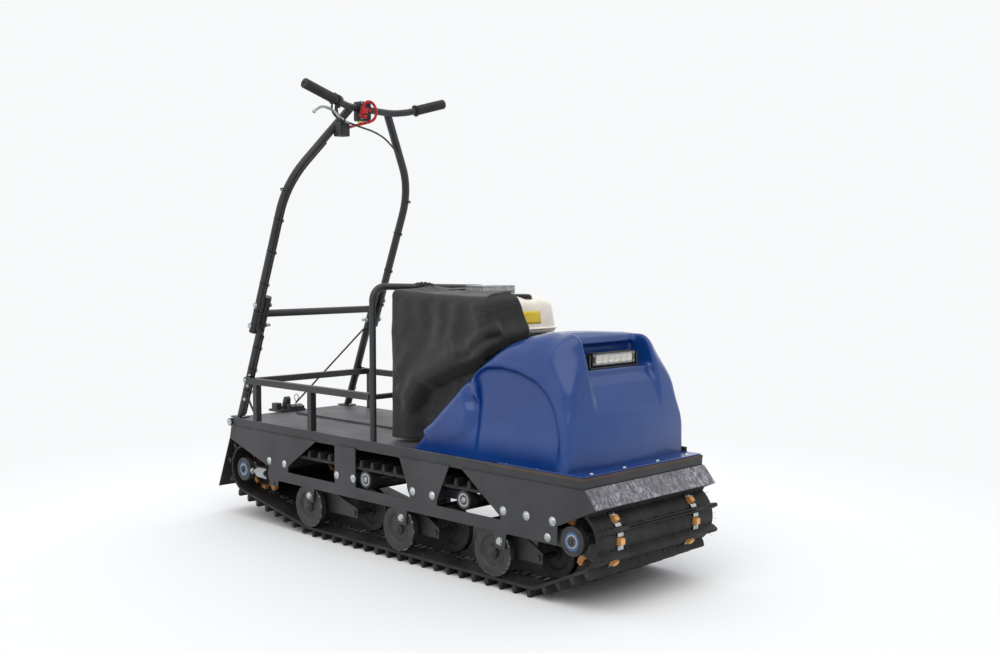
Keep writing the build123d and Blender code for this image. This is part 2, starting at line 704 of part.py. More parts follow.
# Side view of the catch that drops over the tow pin: x, height over the deck
CATCH = [(-788, 7), (-748, 7), (-752, 20), (-757, 26), (-756, 44), (-763, 52), (-772, 50), (-778, 34)]
CATCH_TAIL = [(-766, 7), (-745, 7), (-745, 16), (-766, 22)]
CATCH_Y = (-34.0, -16.0)
CATCH_STOP_X = (-796.0, -768.0)
CATCH_STOP_H = 30.0


def make_hitch():
    """The tow hitch on the rear edge of the deck, with its catch."""
    base = block(HITCH_X, HITCH_Y, (DECK_TOP, DECK_TOP + HITCH_T))
    base += block(CATCH_STOP_X, (HITCH_Y[0], HITCH_Y[0] + 22), (DECK_TOP, DECK_TOP + CATCH_STOP_H))
    for outline, y0, y1 in ((CATCH, *CATCH_Y), (CATCH_TAIL, CATCH_Y[1] - 1, HITCH_Y[1])):
        base += slab([(x, DECK_TOP + height) for x, height in outline], y0, y1)
    return base - Pos(TOW_PIN_X, TOW_PIN_Y, DECK_TOP) * Cylinder(TOW_BORE_R, 4 * HITCH_T)


# The lever's cable up to the far arm, and the free stop cord: x, y, z
LEVER_CABLE = [
    (-300, -106, 1301), (-296, -66, 1291), (-308, 0, 1282), (-331, 62, 1268),
    (-352, 112, 1247), (-372, 161, 1217), (-384.4, 183.6, 1186.6),
]
STOP_CORD = [
    (-304, -54, 1328), (-290, -60, 1352), (-290, -42, 1373), (-290, -20, 1372),
    (-290, -3, 1354), (-290, -3, 1328), (-290, -20, 1311), (-302, -40, 1304),
    (-320, -66, 1297), (-328, -93, 1287),
]
CORD_R = 3.0
BUNDLE_R = 5.0
# Where the cables on the arms start above the fold, and how they run up them
CABLE_FOOT = 10.0
NEAR_RUN = 148.0
FAR_INSIDE = 9.0
FAR_AHEAD = 13.7
RELEASE_END = (-762.0, 8.0, 362.0)


# Hand lever: the middle of its ring on the bar, and its blade: x, y, z
LEVER_RING = (-303.0, -140.0, 1366.0)
LEVER_RING_R = 17.0
LEVER_ROOT = (-301.0, -152.0, 1356.0)
BLADE = [
    (-299, -130, 1309), (-300, -143, 1314), (-300, -165, 1334), (-300, -205, 1342),
    (-300, -240, 1326),
]
BLADE_R = 4.0
ADJUSTER_R = 4.5
ADJUSTER_L = 20.0


def make_lever():
    """The hand lever and its perch on the right of the bar."""
    way = Vector(*BAR[1]) - Vector(*BAR[0])
    perch = Plane(LEVER_RING, z_dir=(way.X, -way.Y, way.Z))
    ring = Solid.make_cylinder(LEVER_RING_R, 16, perch)
    ring -= Solid.make_cylinder(BAR_R + RUNNING_GAP, 16, perch)
    gland, ahead = Vector(*LEVER_CABLE[0]), Vector(*LEVER_CABLE[1])
    way = (gland - ahead).normalized()
    arm = tube_path([LEVER_ROOT, gland + way * 34, gland + way * (ADJUSTER_L - 4)], [8], 6)
    adjuster = Solid.make_cylinder(ADJUSTER_R, ADJUSTER_L, Plane(gland, z_dir=way))
    blade = tube_path(BLADE, [15, 15, 40], BLADE_R)
    return (ring + arm + adjuster + blade) - make_handlebar()


# Switch block round the bar and junction box on the near arm: x, y, z, rounding
SWITCH = ((-340.0, -302.0), (-57.0, -12.0), (1312.0, 1374.0), 5.0)
JUNCTION = ((-352.0, -314.0), (-127.0, -90.0), (1260.0, 1304.0), 3.0)


def rounded_block(x, y, z, radius):
    """A box with all its edges rounded."""
    return fillet(block(x, y, z).edges(), radius)


def make_switch():
    """The switch block on the middle of the bar and the box on the near arm."""
    bar = rod_y(BAR[0][0], BAR[0][2], BAR_R + RUNNING_GAP, -100, 100)
    box = (rounded_block(*JUNCTION) - make_arch()).solids().sort_by(SortBy.VOLUME)[-1]
    return Compound([(rounded_block(*SWITCH) - bar).solid(), box])


def soft_tube(points, radius, name):
    """A cord's solid: straight runs joined by arcs as large as they allow."""
    vectors = [Vector(*point) for point in points]
    radii = []
    for before, at, after in zip(vectors, vectors[1:], vectors[2:]):
        turn = radians((at - before).get_angle(after - at))
        run = min((at - before).length, (after - at).length)
        radii.append(0.45 * run / (sin(turn / 2) / cos(turn / 2)))
    cord = tube_path(points, radii, radius)
    length = cord.volume / (pi * radius ** 2)
    print(f"{name}: {length:.0f} mm long, {2 * radius:.0f} mm thick, arcs {min(radii):.1f} mm or more")
    return cord


def make_cords():
    """The cables along the handle, the lever's cable and the free stop cord."""
    save(soft_tube(STOP_CORD, CORD_R, "stop_cord"), "stop_cord")
    save(soft_tube(LEVER_CABLE, CORD_R, "lever_cable"), "lever_cable")
    slope = atan2(ARCH_Y - ARCH_TOP_Y, ARCH_TOP - ARCH_CORNER)
    # Along the near arm, in front of its tube
    ahead = HANDLE_TUBE_R + BUNDLE_R + TIE_GAP
    inward = NEAR_RUN * sin(slope) / cos(slope)
    near = [
        lean_point(-ARCH_Y, CABLE_FOOT, ahead), lean_point(-ARCH_Y, ARCH_CORNER, ahead),
        lean_point(inward - ARCH_Y, ARCH_CORNER + NEAR_RUN, ahead),
    ]
    # Along the far arm, in front of it and a little inside, up to the free cable
    y = ARCH_Y - FAR_INSIDE
    corner = ARCH_CORNER - FAR_INSIDE * sin(slope / 2) / cos(slope / 2)
    far = [
        lean_point(y, CABLE_FOOT, FAR_AHEAD), lean_point(y, corner, FAR_AHEAD), LEVER_CABLE[-1],
    ]
    runs = [(near, ARCH_BEND_R, BUNDLE_R), (far, ARCH_BEND_R - FAR_INSIDE, CORD_R)]
    save(Compound([tube_path(run, [bend], r).solid() for run, bend, r in runs]), "arch_cables")
    low = [lean_point(-LOWER_Y, -45, ahead), lean_point(-LOWER_Y, -320, ahead)]
    save(tube_path(low, None, BUNDLE_R), "engine_cable")
    start = lean_point(LOWER_Y - HANDLE_TUBE_R - CORD_R - TIE_GAP, -36)
    save(tube_path([start, RELEASE_END], None, CORD_R), "release_cable")


def main():
    """Write every node of the machine."""
    save(make_track(), "track")
    front_phase = window_angle(FRONT_AXLE_X, 0)
    rear_phase = window_angle(REAR_AXLE_X, pi)
    save(both_sides(make_sprocket(FRONT_AXLE_X, FRONT_AXLE_Z, front_phase)), "front_sprockets")
    save(both_sides(make_sprocket(REAR_AXLE_X, REAR_AXLE_Z, rear_phase)), "rear_sprockets")
    save(make_axle(FRONT_AXLE_X, FRONT_AXLE_Z), "front_axle")
    save(make_axle(REAR_AXLE_X, REAR_AXLE_Z), "rear_axle")
    save(make_housings(FRONT_AXLE_X, FRONT_AXLE_Z, 595), "front_bearing_housings")
    save(make_housings(REAR_AXLE_X, REAR_AXLE_Z, -540), "rear_bearing_housings")
    save(make_bearings(), "axle_bearings")
    save(make_rollers(1, OUTER_ROLLER_Y), "outer_rollers")
    save(make_rollers(2, INNER_ROLLER_Y), "inner_rollers")
    rockers = [make_rocker(*bogie) for bogie in BOGIES]
    save(Compound([solid for rocker in rockers for solid in rocker.solids()]), "rocker_arms")
    reach = BRACKET_Y + 6
    pivots = [rod_y(bogie[0], PIVOT_Z, PIVOT_R, -reach, reach) for bogie in BOGIES]
    save(Compound(pivots), "pivot_tubes")
    wheels = []
    for x in SUPPORTS:
        outer = TRACK_WIDTH / 2 - 2
        ring = rod_y(x, support_z(x), SUPPORT_R, outer - SUPPORT_W, outer)
        ring -= rod_y(x, support_z(x), SHAFT_R + RUNNING_GAP, 0, outer)
        wheels += both_sides(ring).solids()
    save(Compound(wheels), "support_rollers")
    reach = TRACK_WIDTH / 2
    shafts = [rod_y(x, support_z(x), SHAFT_R, -reach, reach) for x in SUPPORTS]
    save(Compound(shafts), "support_shafts")
    plate = make_side_plate()
    save(plate, "side_plate_left")
    save(mirror(plate, about=Plane.XZ), "side_plate_right")
    save(make_main_frame(), "main_frame")
    deck = block((FRAME_REAR_X, FRAME_FRONT_X), (-INNER_Y, INNER_Y), (DECK_Z, DECK_TOP))
    deck += block(DECK_RIB_X, DECK_RIB_Y, (DECK_TOP - 1, DECK_TOP + DECK_RIB_H))
    save(deck, "deck_plate")
    save(make_cross_members(), "cross_members")
    save(make_pivot_brackets(), "pivot_brackets")
    save(slab(BUMPER, -SIDE_Y, SIDE_Y), "front_bumper")
    save(rod_y(*CROSSBAR, HANDLE_TUBE_R, -SIDE_Y - 2, SIDE_Y + 2), "rear_crossbar")
    save(slab(FLAP, 1 - INNER_Y, INNER_Y - 1), "mud_flap")
    save(make_basket(), "basket_rails")
    save(make_hoop(), "rack_hoop")
    save(make_lower_handle(), "handle_lower_frame")
    save(make_fold_bolts(), "fold_bolts")
    save(make_arch(), "handle_arch")
    save(make_handlebar(), "handlebar")
    save(make_grips(), "handle_grips")
    save(make_hood(), "hood")
    save(make_cover(), "engine_cover")
    save(block(LATCH_X, (INNER_Y, INNER_Y + LATCH_T), LATCH_Z), "hood_latch")
    save(make_hitch(), "tow_hitch")
    save(make_lever(), "hand_lever")
    save(make_switch(), "switch_block")
    make_engine()
    make_lamp()
    make_cords()


main()
print(f"belt loop {LOOP:.1f} mm, {WINDOWS} windows at {PITCH:.2f} mm, fold at x {FOLD_X:.1f}")
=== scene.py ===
"""Looks of the tracked snow tug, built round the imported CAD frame. Metres."""

import math

import bmesh
import bpy
import numpy as np
from mathutils import Matrix, Vector


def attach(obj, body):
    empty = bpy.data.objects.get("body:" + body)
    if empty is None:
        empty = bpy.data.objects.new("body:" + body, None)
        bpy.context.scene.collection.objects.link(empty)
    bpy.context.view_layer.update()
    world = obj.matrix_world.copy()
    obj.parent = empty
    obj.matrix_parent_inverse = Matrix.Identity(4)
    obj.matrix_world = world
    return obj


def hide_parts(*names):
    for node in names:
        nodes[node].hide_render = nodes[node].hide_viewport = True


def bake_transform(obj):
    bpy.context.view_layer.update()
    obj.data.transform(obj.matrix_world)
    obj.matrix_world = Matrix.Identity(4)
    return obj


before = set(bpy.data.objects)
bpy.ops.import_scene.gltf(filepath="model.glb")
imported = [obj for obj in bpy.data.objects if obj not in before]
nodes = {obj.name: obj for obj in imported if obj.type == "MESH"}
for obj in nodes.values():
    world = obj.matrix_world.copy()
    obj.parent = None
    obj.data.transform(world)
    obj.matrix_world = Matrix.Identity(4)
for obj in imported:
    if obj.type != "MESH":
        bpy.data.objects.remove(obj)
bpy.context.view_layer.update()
MM = 0.001

# Helpers


def link(obj):
    bpy.context.scene.collection.objects.link(obj)
    return obj


def mesh_object(name, verts, faces, material, smooth=True):
    """A mesh piece from points in millimetres."""
    mesh = bpy.data.meshes.new(name)
    mesh.from_pydata([tuple(c * MM for c in v) for v in verts], [], [tuple(f) for f in faces])
    mesh.validate()
    mesh.polygons.foreach_set("use_smooth", [smooth] * len(mesh.polygons))
    obj = link(bpy.data.objects.new(name, mesh))
    obj.data.materials.append(material)
    return obj


class Builder:
    """Collects simple solids, in millimetres, into one mesh piece."""

    def __init__(self):
        self.bm = bmesh.new()

    def add(self, verts, faces):
        made = [self.bm.verts.new(v) for v in verts]
        for face in faces:
            self.bm.faces.new([made[i] for i in face])

    def lathe(self, profile, matrix, steps=24):
        """A closed turned shape: profile is (radius, height) along local Z."""
        rings = []
        for r, h in profile:
            if r < 1e-6:
                rings.append([self.bm.verts.new(matrix @ Vector((0, 0, h)))])
                continue
            ring = []
            for k in range(steps):
                a = 2 * math.pi * k / steps
                ring.append(self.bm.verts.new(matrix @ Vector((r * math.cos(a), r * math.sin(a), h))))
            rings.append(ring)
        for low, high in zip(rings, rings[1:]):
            for k in range(steps):
                a, b = low[k % len(low)], low[(k + 1) % len(low)]
                c, d = high[(k + 1) % len(high)], high[k % len(high)]
                corners = [v for i, v in enumerate((a, b, c, d)) if v not in (a, b, c, d)[:i]]
                if len(corners) > 2:
                    self.bm.faces.new(corners)

    def prism(self, outline, depth, matrix):
        """A flat outline in local XY made thick along local Z, from 0 to depth."""
        n = len(outline)
        low = [self.bm.verts.new(matrix @ Vector((x, y, 0))) for x, y in outline]
        high = [self.bm.verts.new(matrix @ Vector((x, y, depth))) for x, y in outline]
        self.bm.faces.new(list(reversed(low)))
        self.bm.faces.new(high)
        for k in range(n):
            self.bm.faces.new([low[k], low[(k + 1) % n], high[(k + 1) % n], high[k]])

    def box(self, x, y, z, matrix=Matrix.Identity(4)):
        outline = [(x[0], y[0]), (x[1], y[0]), (x[1], y[1]), (x[0], y[1])]
        self.prism(outline, z[1] - z[0], matrix @ Matrix.Translation((0, 0, z[0])))

    def tube(self, points, radius, steps=12, caps=True):
        """A round tube along points."""
        pts = [Vector(p) for p in points]
        rings = []
        side = None
        for i, p in enumerate(pts):
            way = (pts[min(i + 1, len(pts) - 1)] - pts[max(i - 1, 0)]).normalized()
            if side is None:
                side = way.orthogonal().normalized()
            side = (side - way * side.dot(way)).normalized()
            up = way.cross(side)
            r = radius[i] if hasattr(radius, "__len__") else radius
            ring = []
            for k in range(steps):
                a = 2 * math.pi * k / steps
                ring.append(self.bm.verts.new(p + (side * math.cos(a) + up * math.sin(a)) * r))
            rings.append(ring)
        for low, high in zip(rings, rings[1:]):
            for k in range(steps):
                self.bm.faces.new([low[k], low[(k + 1) % steps], high[(k + 1) % steps], high[k]])
        if caps:
            self.bm.faces.new(list(reversed(rings[0])))
            self.bm.faces.new(rings[-1])

    def finish(self, name, material, smooth_deg=35, bevel=0.0, segments=2):
        bmesh.ops.recalc_face_normals(self.bm, faces=self.bm.faces)
        for v in self.bm.verts:
            v.co *= MM
        mesh = bpy.data.meshes.new(name)
        self.bm.to_mesh(mesh)
        self.bm.free()
        obj = link(bpy.data.objects.new(name, mesh))
        obj.data.materials.append(material)
        shade(obj, smooth_deg)
        if bevel:
            b = obj.modifiers.new("bevel", "BEVEL")
            b.width = bevel * MM
            b.segments = segments
            b.limit_method = "ANGLE"
            b.angle_limit = math.radians(35)
        return obj


def shade(obj, degrees):
    """Smooth shading with hard edges over an angle."""
    obj.data.polygons.foreach_set("use_smooth", [True] * len(obj.data.polygons))
    obj.data.set_sharp_from_angle(angle=math.radians(degrees))


def along(origin, direction, turn=0.0):
    """A matrix whose Z axis points along a direction."""
    way = Vector(direction).normalized()
    facing = way.to_track_quat("Z", "Y").to_matrix().to_4x4()
    return Matrix.Translation(Vector(origin)) @ facing @ Matrix.Rotation(turn, 4, "Z")


# Materials


def srgb(r, g, b):
    """Linear colour from eight-bit sRGB values."""
    out = []
    for c in (r, g, b):
        c /= 255
        out.append(c / 12.92 if c <= 0.04045 else ((c + 0.055) / 1.055) ** 2.4)
    return (*out, 1.0)


class Mat:
    """A procedural material: sockets of one principled shader fed by noises."""

    def __init__(self, name, color, rough, metal=0.0, **extra):
        self.m = bpy.data.materials.new(name)
        self.m.use_nodes = True
        self.t = self.m.node_tree
        self.p = self.t.nodes["Principled BSDF"]
        self.p.inputs["Base Color"].default_value = color
        self.p.inputs["Roughness"].default_value = rough
        self.p.inputs["Metallic"].default_value = metal
        for key, value in extra.items():
            self.p.inputs[key.replace("_", " ")].default_value = value
        self.coords = self.t.nodes.new("ShaderNodeTexCoord").outputs["Object"]
        self.normal = None

    def node(self, kind, **values):
        n = self.t.nodes.new(kind)
        for key, value in values.items():
            if key in n.inputs:
                n.inputs[key].default_value = value
            else:
                setattr(n, key, value)
        return n

    def join(self, a, b):
        self.t.links.new(a, b)

    def noise(self, scale, detail=4.0, rough=0.55, stretch=None, distortion=0.0):
        """A noise over the piece: scale is in features to the metre."""
        n = self.node(
            "ShaderNodeTexNoise", Scale=scale, Detail=detail, Roughness=rough, Distortion=distortion)
        if stretch:
            m = self.node("ShaderNodeMapping")
            m.inputs["Scale"].default_value = stretch
            self.join(self.coords, m.inputs["Vector"])
            self.join(m.outputs["Vector"], n.inputs["Vector"])
        else:
            self.join(self.coords, n.inputs["Vector"])
        return n.outputs["Fac"]

    def cells(self, scale, feature="F1", stretch=None):
        n = self.node("ShaderNodeTexVoronoi", Scale=scale, feature=feature)
        if stretch:
            m = self.node("ShaderNodeMapping")
            m.inputs["Scale"].default_value = stretch
            self.join(self.coords, m.inputs["Vector"])
            self.join(m.outputs["Vector"], n.inputs["Vector"])
        else:
            self.join(self.coords, n.inputs["Vector"])
        return n.outputs["Distance"]

    def ramp(self, value, stops):
        """Map a value through stops of (place, grey or colour)."""
        r = self.node("ShaderNodeValToRGB")
        e = r.color_ramp.elements
        while len(e) < len(stops):
            e.new(0.5)
        for item, (place, shade_) in zip(e, stops):
            item.position = place
            item.color = shade_ if hasattr(shade_, "__len__") else (shade_, shade_, shade_, 1)
        self.join(value, r.inputs["Fac"])
        return r.outputs["Color"]

    def mix(self, factor, a, b):
        n = self.node("ShaderNodeMix", data_type="RGBA")
        if isinstance(factor, float):
            n.inputs["Factor"].default_value = factor
        else:
            self.join(factor, n.inputs["Factor"])
        for value, socket in ((a, n.inputs["A"]), (b, n.inputs["B"])):
            if hasattr(value, "is_linked") or hasattr(value, "links"):
                self.join(value, socket)
            else:
                socket.default_value = value
        return n.outputs["Result"]

    def color(self, socket):
        self.join(socket, self.p.inputs["Base Color"])
        return self

    def rough(self, value, low, high):
        m = self.node("ShaderNodeMapRange")
        m.inputs["To Min"].default_value = low
        m.inputs["To Max"].default_value = high
        self.join(value, m.inputs["Value"])
        self.join(m.outputs["Result"], self.p.inputs["Roughness"])
        return self

    def bump(self, height, strength, distance):
        """Bump of a height; distance in millimetres."""
        b = self.node("ShaderNodeBump", Strength=strength, Distance=distance * MM)
        self.join(height, b.inputs["Height"])
        if self.normal:
            self.join(self.normal, b.inputs["Normal"])
        self.normal = b.outputs["Normal"]
        self.join(self.normal, self.p.inputs["Normal"])
        return self


def painted_steel(name, color, dusty, rough=0.42):
    """Satin powder coat with an orange-peel skin, faint dust and scuffs."""
    m = Mat(name, color, rough, Specular_IOR_Level=0.5)
    broad = m.noise(7, 6, 0.6)
    m.color(m.mix(m.ramp(broad, [(0.35, 0.0), (0.75, 1.0)]), color, dusty))
    m.rough(m.noise(23, 5, 0.6), rough - 0.08, rough + 0.14)
    m.bump(m.noise(900, 2, 0.5), 0.16, 0.25)
    m.bump(m.noise(40, 3, 0.5), 0.06, 0.6)
    return m.m


def rubber(name, color, dusty, grain=700, rough=0.7, depth=0.4):
    """Matt rubber with a fine grain and greyish dust in broad patches."""
    m = Mat(name, color, rough, Specular_IOR_Level=0.35)
    broad = m.noise(14, 6, 0.65)
    m.color(m.mix(m.ramp(broad, [(0.4, 0.0), (0.72, 1.0)]), color, dusty))
    m.rough(m.noise(30, 4, 0.6), rough - 0.12, rough + 0.12)
    m.bump(m.noise(grain, 3, 0.6), 0.35, depth)
    m.bump(m.noise(90, 4, 0.6), 0.2, 0.8)
    return m.m


def metal(name, color, tint, rough=0.32, grain=(1, 1, 1)):
    """Plated metal with faint brushing and duller patches."""
    m = Mat(name, color, rough, 1.0)
    m.color(m.mix(m.ramp(m.noise(60, 5, 0.6), [(0.35, 0.0), (0.7, 1.0)]), color, tint))
    m.rough(m.noise(140, 4, 0.6, grain), rough - 0.1, rough + 0.16)
    m.bump(m.noise(600, 3, 0.6, grain), 0.12, 0.15)
    return m.m


def plastic(name, color, dusty, rough=0.45, grain=500, strength=0.2):
    """Moulded plastic with a fine grain."""
    m = Mat(name, color, rough, Specular_IOR_Level=0.5)
    m.color(m.mix(m.ramp(m.noise(25, 5, 0.6), [(0.4, 0.0), (0.75, 1.0)]), color, dusty))
    m.rough(m.noise(50, 4, 0.55), rough - 0.08, rough + 0.12)
    m.bump(m.noise(grain, 3, 0.55), strength, 0.2)
    return m.m


def gelcoat():
    """Glossy blue moulded hood: slight unevenness, faint dust, fine scratches, and painted shade in the
    crease under the arch and along the foot.
    """
    base, deep = srgb(16, 65, 132), srgb(10, 50, 114)
    m = Mat("blue_gelcoat", base, 0.3, Coat_Weight=0.25, Coat_Roughness=0.08, Specular_IOR_Level=0.38)
    broad = m.noise(4.5, 4, 0.5)
    tone = m.mix(m.ramp(broad, [(0.3, 0.0), (0.8, 1.0)]), deep, base)
    dust = m.ramp(m.noise(260, 8, 0.75), [(0.62, 0.0), (0.78, 1.0)])
    tone = m.mix(m.ramp(m.noise(12, 5, 0.6), [(0.45, 0.0), (0.9, 0.25)]), tone, srgb(50, 84, 140))
    # Painted shade: where the hood's vertices mark the crease under the arch and the foot, the colour turns
    # deep blue and the shine and coat fall away
    painted_shade = m.node("ShaderNodeAttribute", attribute_name="painted_shade").outputs["Fac"]
    m.color(m.mix(painted_shade, tone, srgb(4, 22, 74)))
    for socket, clean, dull in (("Specular IOR Level", 0.38, 0.02), ("Coat Weight", 0.25, 0.0)):
        shine = m.node("ShaderNodeMapRange")
        shine.inputs["From Max"].default_value = 0.4
        shine.inputs["To Min"].default_value = clean
        shine.inputs["To Max"].default_value = dull
        m.join(painted_shade, shine.inputs["Value"])
        m.join(shine.outputs["Result"], m.p.inputs[socket])
    m.rough(dust, 0.27, 0.42)
    m.bump(m.noise(9, 3, 0.5), 0.05, 4.0)
    m.bump(m.noise(420, 2, 0.5), 0.03, 0.3)
    return m.m


def cloth():
    """Coated black fabric: fine weave, chalky scuffs in broad patches, soft sheen."""
    dark, worn = srgb(19, 19, 20), srgb(38, 38, 39)
    m = Mat("cover_fabric", dark, 0.62, Specular_IOR_Level=0.4, Sheen_Weight=0.12, Sheen_Roughness=0.5)
    patch = m.ramp(m.noise(5.5, 7, 0.65, distortion=0.6), [(0.38, 0.0), (0.7, 1.0)])
    m.color(m.mix(patch, dark, worn))
    m.rough(m.noise(18, 6, 0.6), 0.48, 0.78)
    m.bump(m.cells(1100, stretch=(1, 1, 1)), 0.25, 0.25)
    m.bump(m.noise(38, 6, 0.6), 0.25, 1.6)
    m.bump(m.noise(140, 4, 0.6), 0.16, 0.5)
    return m.m


def worn_edge():
    """Black polymer rubbed pale in flakes where the wheel's rim runs."""
    dark, pale = srgb(40, 40, 42), srgb(134, 136, 138)
    m = Mat("worn_rim", dark, 0.5, Specular_IOR_Level=0.5)
    m.color(m.mix(m.ramp(m.noise(70, 6, 0.7), [(0.5, 0.0), (0.62, 1.0)]), dark, pale))
    m.rough(m.noise(120, 4, 0.6), 0.3, 0.6)
    m.bump(m.noise(300, 4, 0.6), 0.3, 0.4)
    return m.m


def bumper_steel():
    """Dark paint scoured to bright metal in streaks down the plate."""
    dark, bright = srgb(80, 80, 86), srgb(198, 198, 206)
    m = Mat("scoured_plate", dark, 0.4, 0.3, Specular_IOR_Level=0.5)
    specks = m.ramp(m.noise(60, 10, 0.82, (1.0, 1.6, 1.0), 0.3), [(0.46, 0.0), (0.56, 0.5), (0.68, 1.0)])
    patches = m.ramp(m.noise(11, 5, 0.6), [(0.36, 0.25), (0.6, 1.0)])
    m.color(m.mix(patches, dark, m.mix(specks, dark, bright)))
    m.rough(m.noise(90, 6, 0.6), 0.3, 0.62)
    m.bump(m.noise(160, 6, 0.7), 0.4, 0.5)
    return m.m


def sprocket_polymer():
    """Tan teeth round a web painted near black: painted shade, for the shadow that falls on it inside the
    track.
    """
    tan, worn, black = srgb(238, 172, 104), srgb(212, 142, 80), srgb(34, 30, 28)
    m = Mat("orange_polymer", tan, 0.4, Specular_IOR_Level=0.5)
    reach = None
    for x, z in ((0.762, 0.174), (-0.701, 0.168)):
        flat = m.node("ShaderNodeVectorMath", operation="MULTIPLY")
        m.join(m.coords, flat.inputs[0])
        flat.inputs[1].default_value = (1, 0, 1)
        away = m.node("ShaderNodeVectorMath", operation="DISTANCE")
        m.join(flat.outputs["Vector"], away.inputs[0])
        away.inputs[1].default_value = (x, 0, z)
        if reach is None:
            reach = away.outputs["Value"]
            continue
        nearer = m.node("ShaderNodeMath", operation="MINIMUM")
        m.join(reach, nearer.inputs[0])
        m.join(away.outputs["Value"], nearer.inputs[1])
        reach = nearer.outputs["Value"]
    # Painted shade: within about 64 mm of each sprocket's axle the colour goes to near black
    rim = m.node("ShaderNodeMapRange", interpolation_type="SMOOTHSTEP")
    rim.inputs["From Min"].default_value = 0.060
    rim.inputs["From Max"].default_value = 0.068
    m.join(reach, rim.inputs["Value"])
    teeth = m.mix(m.ramp(m.noise(25, 5, 0.6), [(0.4, 0.0), (0.75, 1.0)]), tan, worn)
    m.color(m.mix(rim.outputs["Result"], black, teeth))
    m.rough(m.noise(50, 4, 0.55), 0.32, 0.52)
    m.bump(m.noise(500, 3, 0.55), 0.2, 0.2)
    return m.m


def lens_glass():
    """Clear cover of the lamp."""
    m = Mat("lamp_lens", srgb(250, 250, 248), 0.06, Transmission_Weight=0.96, IOR=1.45)
    m.rough(m.noise(200, 3, 0.5), 0.03, 0.12)
    m.bump(m.noise(260, 2, 0.5), 0.05, 0.2)
    return m.m


M = {
    "cover_fabric": cloth(),
    "satin_black": painted_steel("satin_black", srgb(30, 31, 33), srgb(46, 47, 50)),
    "plate_black": painted_steel("plate_black", srgb(37, 37, 40), srgb(56, 56, 60), 0.46),
    "track_rubber": rubber("track_rubber", srgb(24, 24, 25), srgb(48, 48, 50), 500, 0.62, 0.6),
    "thread": plastic("seam_thread", srgb(96, 96, 98), srgb(70, 70, 72), 0.6),
    "flap_rubber": rubber("flap_rubber", srgb(26, 26, 27), srgb(44, 44, 46)),
    "wheel_polymer": plastic("wheel_polymer", srgb(30, 30, 31), srgb(50, 50, 51), 0.5),
    "orange_polymer": sprocket_polymer(),
    "zinc": metal("zinc", srgb(196, 200, 202), srgb(150, 154, 150), 0.3),
    "dark_steel": metal("dark_steel", srgb(84, 86, 90), srgb(60, 60, 62), 0.38),
    "blue_seal": plastic("blue_seal", srgb(56, 104, 156), srgb(46, 78, 116), 0.4),
    "cast": painted_steel("cast_housing", srgb(34, 34, 36), srgb(58, 58, 60), 0.5),
    "gelcoat": gelcoat(),
    "black_plastic": plastic("black_plastic", srgb(24, 24, 25), srgb(36, 36, 38), 0.42),
    "grip": rubber("grip_rubber", srgb(34, 34, 33), srgb(52, 52, 50), 800, 0.55, 0.3),
    "red": plastic("red_plastic", srgb(205, 22, 24), srgb(170, 14, 18), 0.32),
    "ivory": plastic("ivory_tank", srgb(245, 238, 225), srgb(228, 221, 206), 0.28, 300, 0.05),
    "yellow": plastic("blank_label", srgb(236, 204, 40), srgb(222, 190, 36), 0.35),
    "sheath": plastic("cable_sheath", srgb(22, 22, 24), srgb(34, 34, 36), 0.4),
    "engine": metal("engine_metal", srgb(92, 92, 92), srgb(50, 50, 50), 0.5),
    "worn_rim": worn_edge(),
    "frosty": bumper_steel(),
    "led": plastic("led_cell", srgb(246, 232, 190), srgb(234, 214, 160), 0.25),
    "reflector": plastic("lamp_reflector", srgb(255, 254, 252), srgb(250, 248, 244), 0.2, 300, 0.05),
    "lens": lens_glass(),
    "guard": metal("guard_sheet", srgb(176, 180, 182), srgb(140, 144, 146), 0.45),
    "brown": painted_steel("edge_primer", srgb(62, 48, 44), srgb(84, 66, 60), 0.6),
    "deck": painted_steel("deck_paint", srgb(56, 56, 59), srgb(92, 92, 95), 0.5),
}

NODE_MATERIAL = {
    "plate_black": ["side_plate_left", "side_plate_right"],
    "frosty": ["front_bumper"],
    "lens": ["lamp_lens"],
    "deck": ["deck_plate"],
    "cast": ["rocker_arms"],
    "satin_black": [
        "main_frame", "cross_members", "pivot_brackets", "rear_crossbar", "tow_hitch",
        "pivot_tubes", "basket_rails", "handle_lower_frame", "handle_arch",
    ],
    "flap_rubber": ["mud_flap", "hood_latch"],
    "track_rubber": ["track"],
    "orange_polymer": ["front_sprockets", "rear_sprockets"],
    "zinc": ["front_axle", "rear_axle", "support_shafts", "fold_bolts"],
    "blue_seal": ["axle_bearings"],
    "wheel_polymer": ["outer_rollers", "inner_rollers", "support_rollers"],
    "black_plastic": ["lamp_bracket", "switch_block"],
    "sheath": ["engine_cable", "release_cable", "lever_cable", "arch_cables"],
}
for key, names in NODE_MATERIAL.items():
    for name in names:
        nodes[name].data.materials.clear()
        nodes[name].data.materials.append(M[key])

# Camera, floor and light


def camera():
    """The photograph's view."""
    data = bpy.data.cameras.new("camera")
    data.sensor_width = 36.0
    data.lens = 42.73
    data.clip_end = 200
    cam = link(bpy.data.objects.new("camera", data))
    cam.location = (2.6893, -2.4461, 0.892)
    cam.rotation_euler = (math.radians(90 - 3.544), 0, math.radians(44.748))
    bpy.context.scene.camera = cam


def seen(t):
    """One for rays from the camera and from mirrors and glass, else zero."""
    path = t.nodes.new("ShaderNodeLightPath")
    total = path.outputs["Is Camera Ray"]
    for kind in ("Is Glossy Ray", "Is Transmission Ray"):
        plus = t.nodes.new("ShaderNodeMath")
        plus.operation = "ADD"
        plus.use_clamp = True
        t.links.new(total, plus.inputs[0])
        t.links.new(path.outputs[kind], plus.inputs[1])
        total = plus.outputs[0]
    return total


def sun(name, way, strength, angle, color):
    data = bpy.data.lights.new(name, "SUN")
    data.energy = strength
    data.angle = angle
    data.color = color
    lamp = link(bpy.data.objects.new(name, data))
    lamp.rotation_euler = Vector(way).to_track_quat("-Z", "Y").to_euler()


